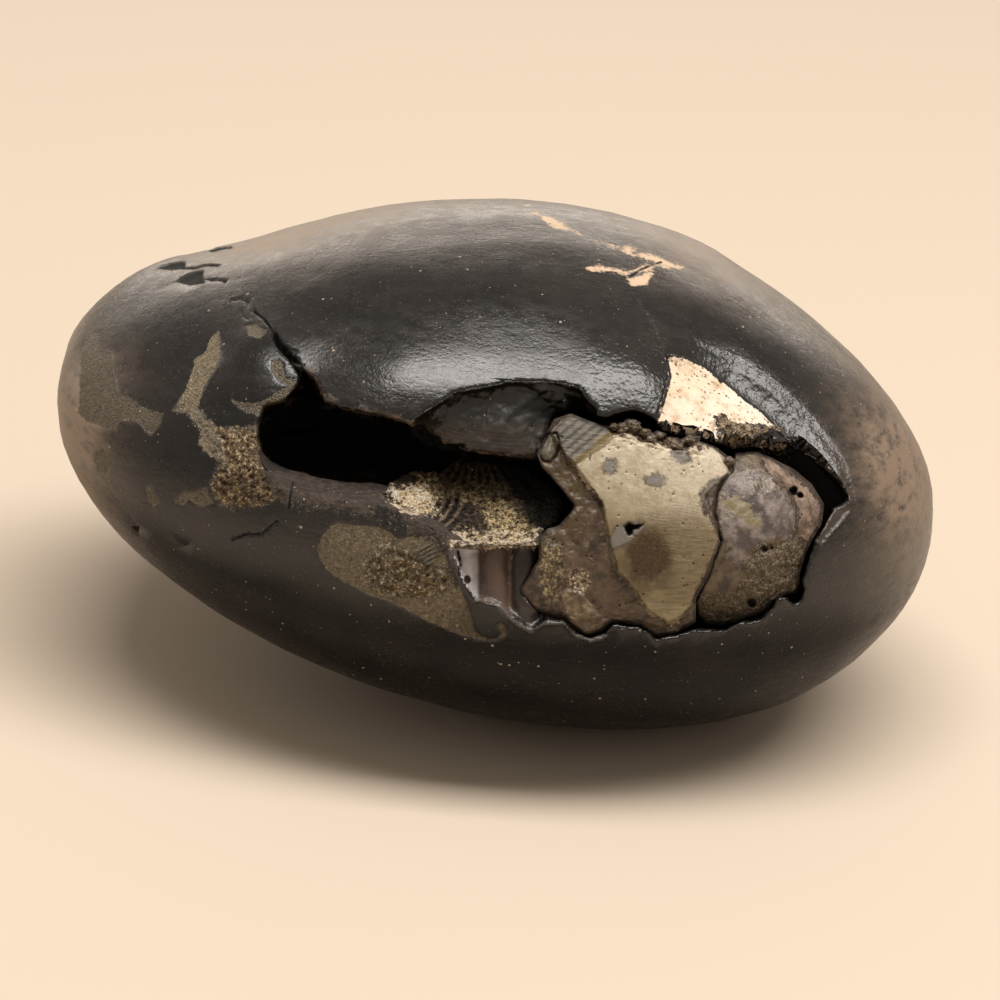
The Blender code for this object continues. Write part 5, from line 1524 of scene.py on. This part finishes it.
endColours = {
    "purple": (0.246, 0.205, 0.18), "purpleDark": (0.0697, 0.0525, 0.0467),
    "stripe": (0.197, 0.164, 0.0861), "olive": (0.139, 0.107, 0.0574), "pale": (0.492, 0.41, 0.295),
    "pink": (0.254, 0.184, 0.135), "pinkDark": (0.107, 0.0697, 0.0492),
}
lowTones = ((0.0328, 0.0221, 0.0131), (0.123, 0.0918, 0.0574), (0.246, 0.197, 0.127))


def paintEnd():
    c = endColours
    startPaint("brownCast", castColours["brown"], 0.46, 0.0, Specular_IOR_Level=0.5)
    paint["colour"], mottle = brownRock()
    fine = noiseOf(0.3, 3.0, 0.65)
    relief = timesPlus(mottle, 2.0, times(fine, 0.5))
    paint["height"] = relief
    paint["colour"] = blended(spread(mottle, 0.4, 0.65, 0.0, 0.7), paint["colour"], c["olive"])
    purple = blended(spread(mottle, 0.36, 0.68), c["purpleDark"], c["purple"])
    cover(edged("purple", 1.0, 0.08), colour=purple, rough=0.40)
    stripe = times(edged("stripe", 0.8, 0.15), 0.9)
    cover(stripe, colour=c["stripe"], rough=0.45)
    ore = useGroup(oreCells, Size=0.2, Glints=0.05)
    cover(edged("low", 0.8, 0.25), colour=oreOf(ore, lowTones, 1.0), rough=0.48,
          metal=0.1, height=times(ore["Height"], 1.4))
    pale = spread(fine, 0.5, 0.62, 0.0, 0.5)
    pale = times(nearSpot("paleBloom"), pale)
    cover(pale, colour=c["pale"])
    pink = blended(spread(mottle, 0.40, 0.56), c["pink"], c["pinkDark"])
    cover(edged("rim", 0.9, 0.12), colour=pink, rough=0.55)
    # a dark line along the rim's groove: dirt with painted shade
    seam = maths("ABSOLUTE", timesPlus(paint["wave"], 0.5, stored("rim")))
    cover(spread(seam, 0.14, 0.06, 0.0, 0.8), colour=castColours["dirtAndShade"], rough=0.7)
    flecks = specks(0.7, 0.25, 0.2)
    cover(times(flecks, 0.6), colour=c["pink"])
    dirtAndShadeEdges(0.12, 2.4)
    # painted shade: the holes' insides are painted black
    cover(edged("hole", 0.25, 0.06), colour=stoneColours["paintedShade"], rough=0.9, metal=0.0)
    return finishPaint(0.12)


crustColours = {
    "back": (0.156, 0.0984, 0.0394), "rock": (0.0246, 0.0156, 0.00902), "ridge": (0.221, 0.156, 0.0943),
}
massTones = ((0.00656, 0.00328, 0.00164), (0.139, 0.0886, 0.0361), (0.82, 0.656, 0.394))
heapTones = ((0.115, 0.0656, 0.0295), (0.779, 0.607, 0.385), (0.82, 0.804, 0.705))


def paintCrust():
    c = crustColours
    startPaint("pyriteCrystals", massTones[1], 0.36, 0.0, Specular_IOR_Level=0.5)
    ore = useGroup(oreCells, Size=0.2, Glints=0.12)
    rugged = noiseOf(0.55, 5.0, 0.72)
    clumped = noiseOf(2.2, 2.0, 0.5)
    shade = timesPlus(rugged, 1.3, timesPlus(ore["Shade"], 0.45, -0.62))
    shade = timesPlus(clumped, 0.6, shade)
    clumps = {"Shade": shade, "Glint": ore["Glint"]}
    relief = timesPlus(rugged, 3.0, ore["Height"])
    paint["colour"], paint["height"], paint["metal"] = oreOf(clumps, massTones, 2.5), relief, 0.3
    cover(times(stored("glint"), 0.35), colour=massTones[2])
    shadow = spread(stored("shadow"), 0.0, 1.0, 0.0, 0.4)
    cover(shadow, colour=stoneColours["paintedShade"], metal=0.0)
    back = blended(spread(stored("fan"), -0.6, 0.6), c["rock"], c["back"])
    cover(spread(stored("back"), 0.0, 1.0, 0.0, 0.9), colour=back, rough=0.5)
    worn = times(rugged, 0.8)
    worn = timesPlus(stored("whorl"), 0.45, worn)
    rock = blended(spread(worn, 0.3, 0.75), c["rock"], c["ridge"])
    ragged = timesPlus(paint["wave"], 0.9, stored("shade"))
    cover(spread(ragged, 0.35, 0.6), colour=rock, rough=0.6, metal=0.0)
    heap = oreOf(clumps, heapTones, 1.7)
    ragged = timesPlus(paint["wave"], 0.8, stored("cluster"))
    cover(spread(ragged, 0.4, 0.6), colour=heap, rough=0.42, metal=0.1)
    # painted shade darkening the far right part of the crust
    gloom = timesPlus(paint["wave"], 0.35, stored("gloom"))
    gloom = spread(gloom, 0.25, 0.95, 0.0, 0.95)
    cover(gloom, colour=stoneColours["paintedShade"], rough=0.9, metal=0.0)
    brim = times(edged("brim", 0.9, 0.2), spread(rugged, 0.36, 0.5))
    cover(brim, colour=heap, rough=0.42, metal=0.1)
    return finishPaint(0.16)


finishes = (
    (stone, "stone", "black_shell", paintStone),
    (castMain, "fossil_cast", "pyritic_cast", paintCast),
    (castEnd, "fossil_cast_end", "brown_cast", paintEnd),
    (crust, "crystal_crust", "pyrite_crystals", paintCrust))
for piece, node, slot, makePaint in finishes:
    piece.data.transform(standing)
    if piece is not crust:
        pick(piece)
        bpy.ops.object.shade_smooth()
    piece.data.materials.clear()
    piece.data.materials.append(makePaint())
    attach(piece, "root")
    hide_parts(node)
bpy.data.objects.remove(bodyCopy, do_unlink=True)
print("pieces finished")


stageSet = {
    "frameMm": 105.26, "sensor": 36.0, "aim": (0.35, -3.63), "floorHalf": 1.6,
    "floorColour": (0.61, 0.52, 0.42), "airColour": (1.0, 0.88, 0.76), "airStrength": 0.38,
}


def makeCamera():
    turn = standing.to_3x3().normalized()
    place = standing @ Vector(eyePoint)
    u, v = stageSet["aim"]
    target = standing @ Vector(rightWay * u + upWay * v)
    forward = (target - place).normalized()
    upward = turn @ Vector(upWay)
    sideways = forward.cross(upward).normalized()
    upward = sideways.cross(forward)
    bpy.ops.object.camera_add(location=place)
    camera = bpy.context.object
    axes = Matrix((sideways, upward, -forward)).transposed()
    camera.matrix_world = Matrix.Translation(place) @ axes.to_4x4()
    camera.data.sensor_width = stageSet["sensor"]
    camera.data.lens = stageSet["sensor"] * sight["distance"] / stageSet["frameMm"]
    camera.data.clip_start = 0.01
    bpy.context.scene.camera = camera


def makeFloor():
    half = stageSet["floorHalf"]
    bpy.ops.mesh.primitive_plane_add(size=2.0 * half, location=(0.0, 0.0, 0.0))
    floor = bpy.context.object
    floor.name = "paleFloor"
    paint = bpy.data.materials.new("paleFloor")
    paint.use_nodes = True
    shader = paint.node_tree.nodes["Principled BSDF"]
    shader.inputs["Base Color"].default_value = (*stageSet["floorColour"], 1.0)
    shader.inputs["Roughness"].default_value = 0.9
    shader.inputs["Specular IOR Level"].default_value = 0.1
    floor.data.materials.append(paint)


def makeLight(name, place, size, radiance, colour, target):
    bpy.ops.object.light_add(type="AREA", location=place)
    lamp = bpy.context.object
    lamp.name = name
    lamp.data.shape = "RECTANGLE"
    lamp.data.size, lamp.data.size_y = size
    lamp.data.energy = radiance * math.pi * size[0] * size[1]
    lamp.data.color = colour
    aim = Vector(target) - Vector(place)
    lamp.rotation_euler = aim.to_track_quat("-Z", "Y").to_euler()


def makeWorld():
    world = bpy.data.worlds.new("studio")
    bpy.context.scene.world = world
    world.use_nodes = True
    back = world.node_tree.nodes["Background"]
    back.inputs["Color"].default_value = (*stageSet["airColour"], 1.0)
    back.inputs["Strength"].default_value = stageSet["airStrength"]


makeCamera()
makeFloor()
makeWorld()
makeLight("overheadSoftbox", (0.17, -0.09, 0.80), (0.98, 0.28), 11.6, (1.0, 0.95, 0.90), (0.17, -0.09, 0.0))
makeLight("backSoftbox", (0.0, 1.00, 0.22), (0.95, 0.30), 2.6, (1.0, 0.88, 0.76), (0.0, 0.0, 0.02))
makeLight("sideSoftbox", (-0.80, 0.45, 0.22), (0.5, 0.3), 1.6, (1.0, 0.90, 0.80), (0.0, 0.0, 0.02))
bpy.context.scene.view_settings.view_transform = "Standard"
print("stage set")
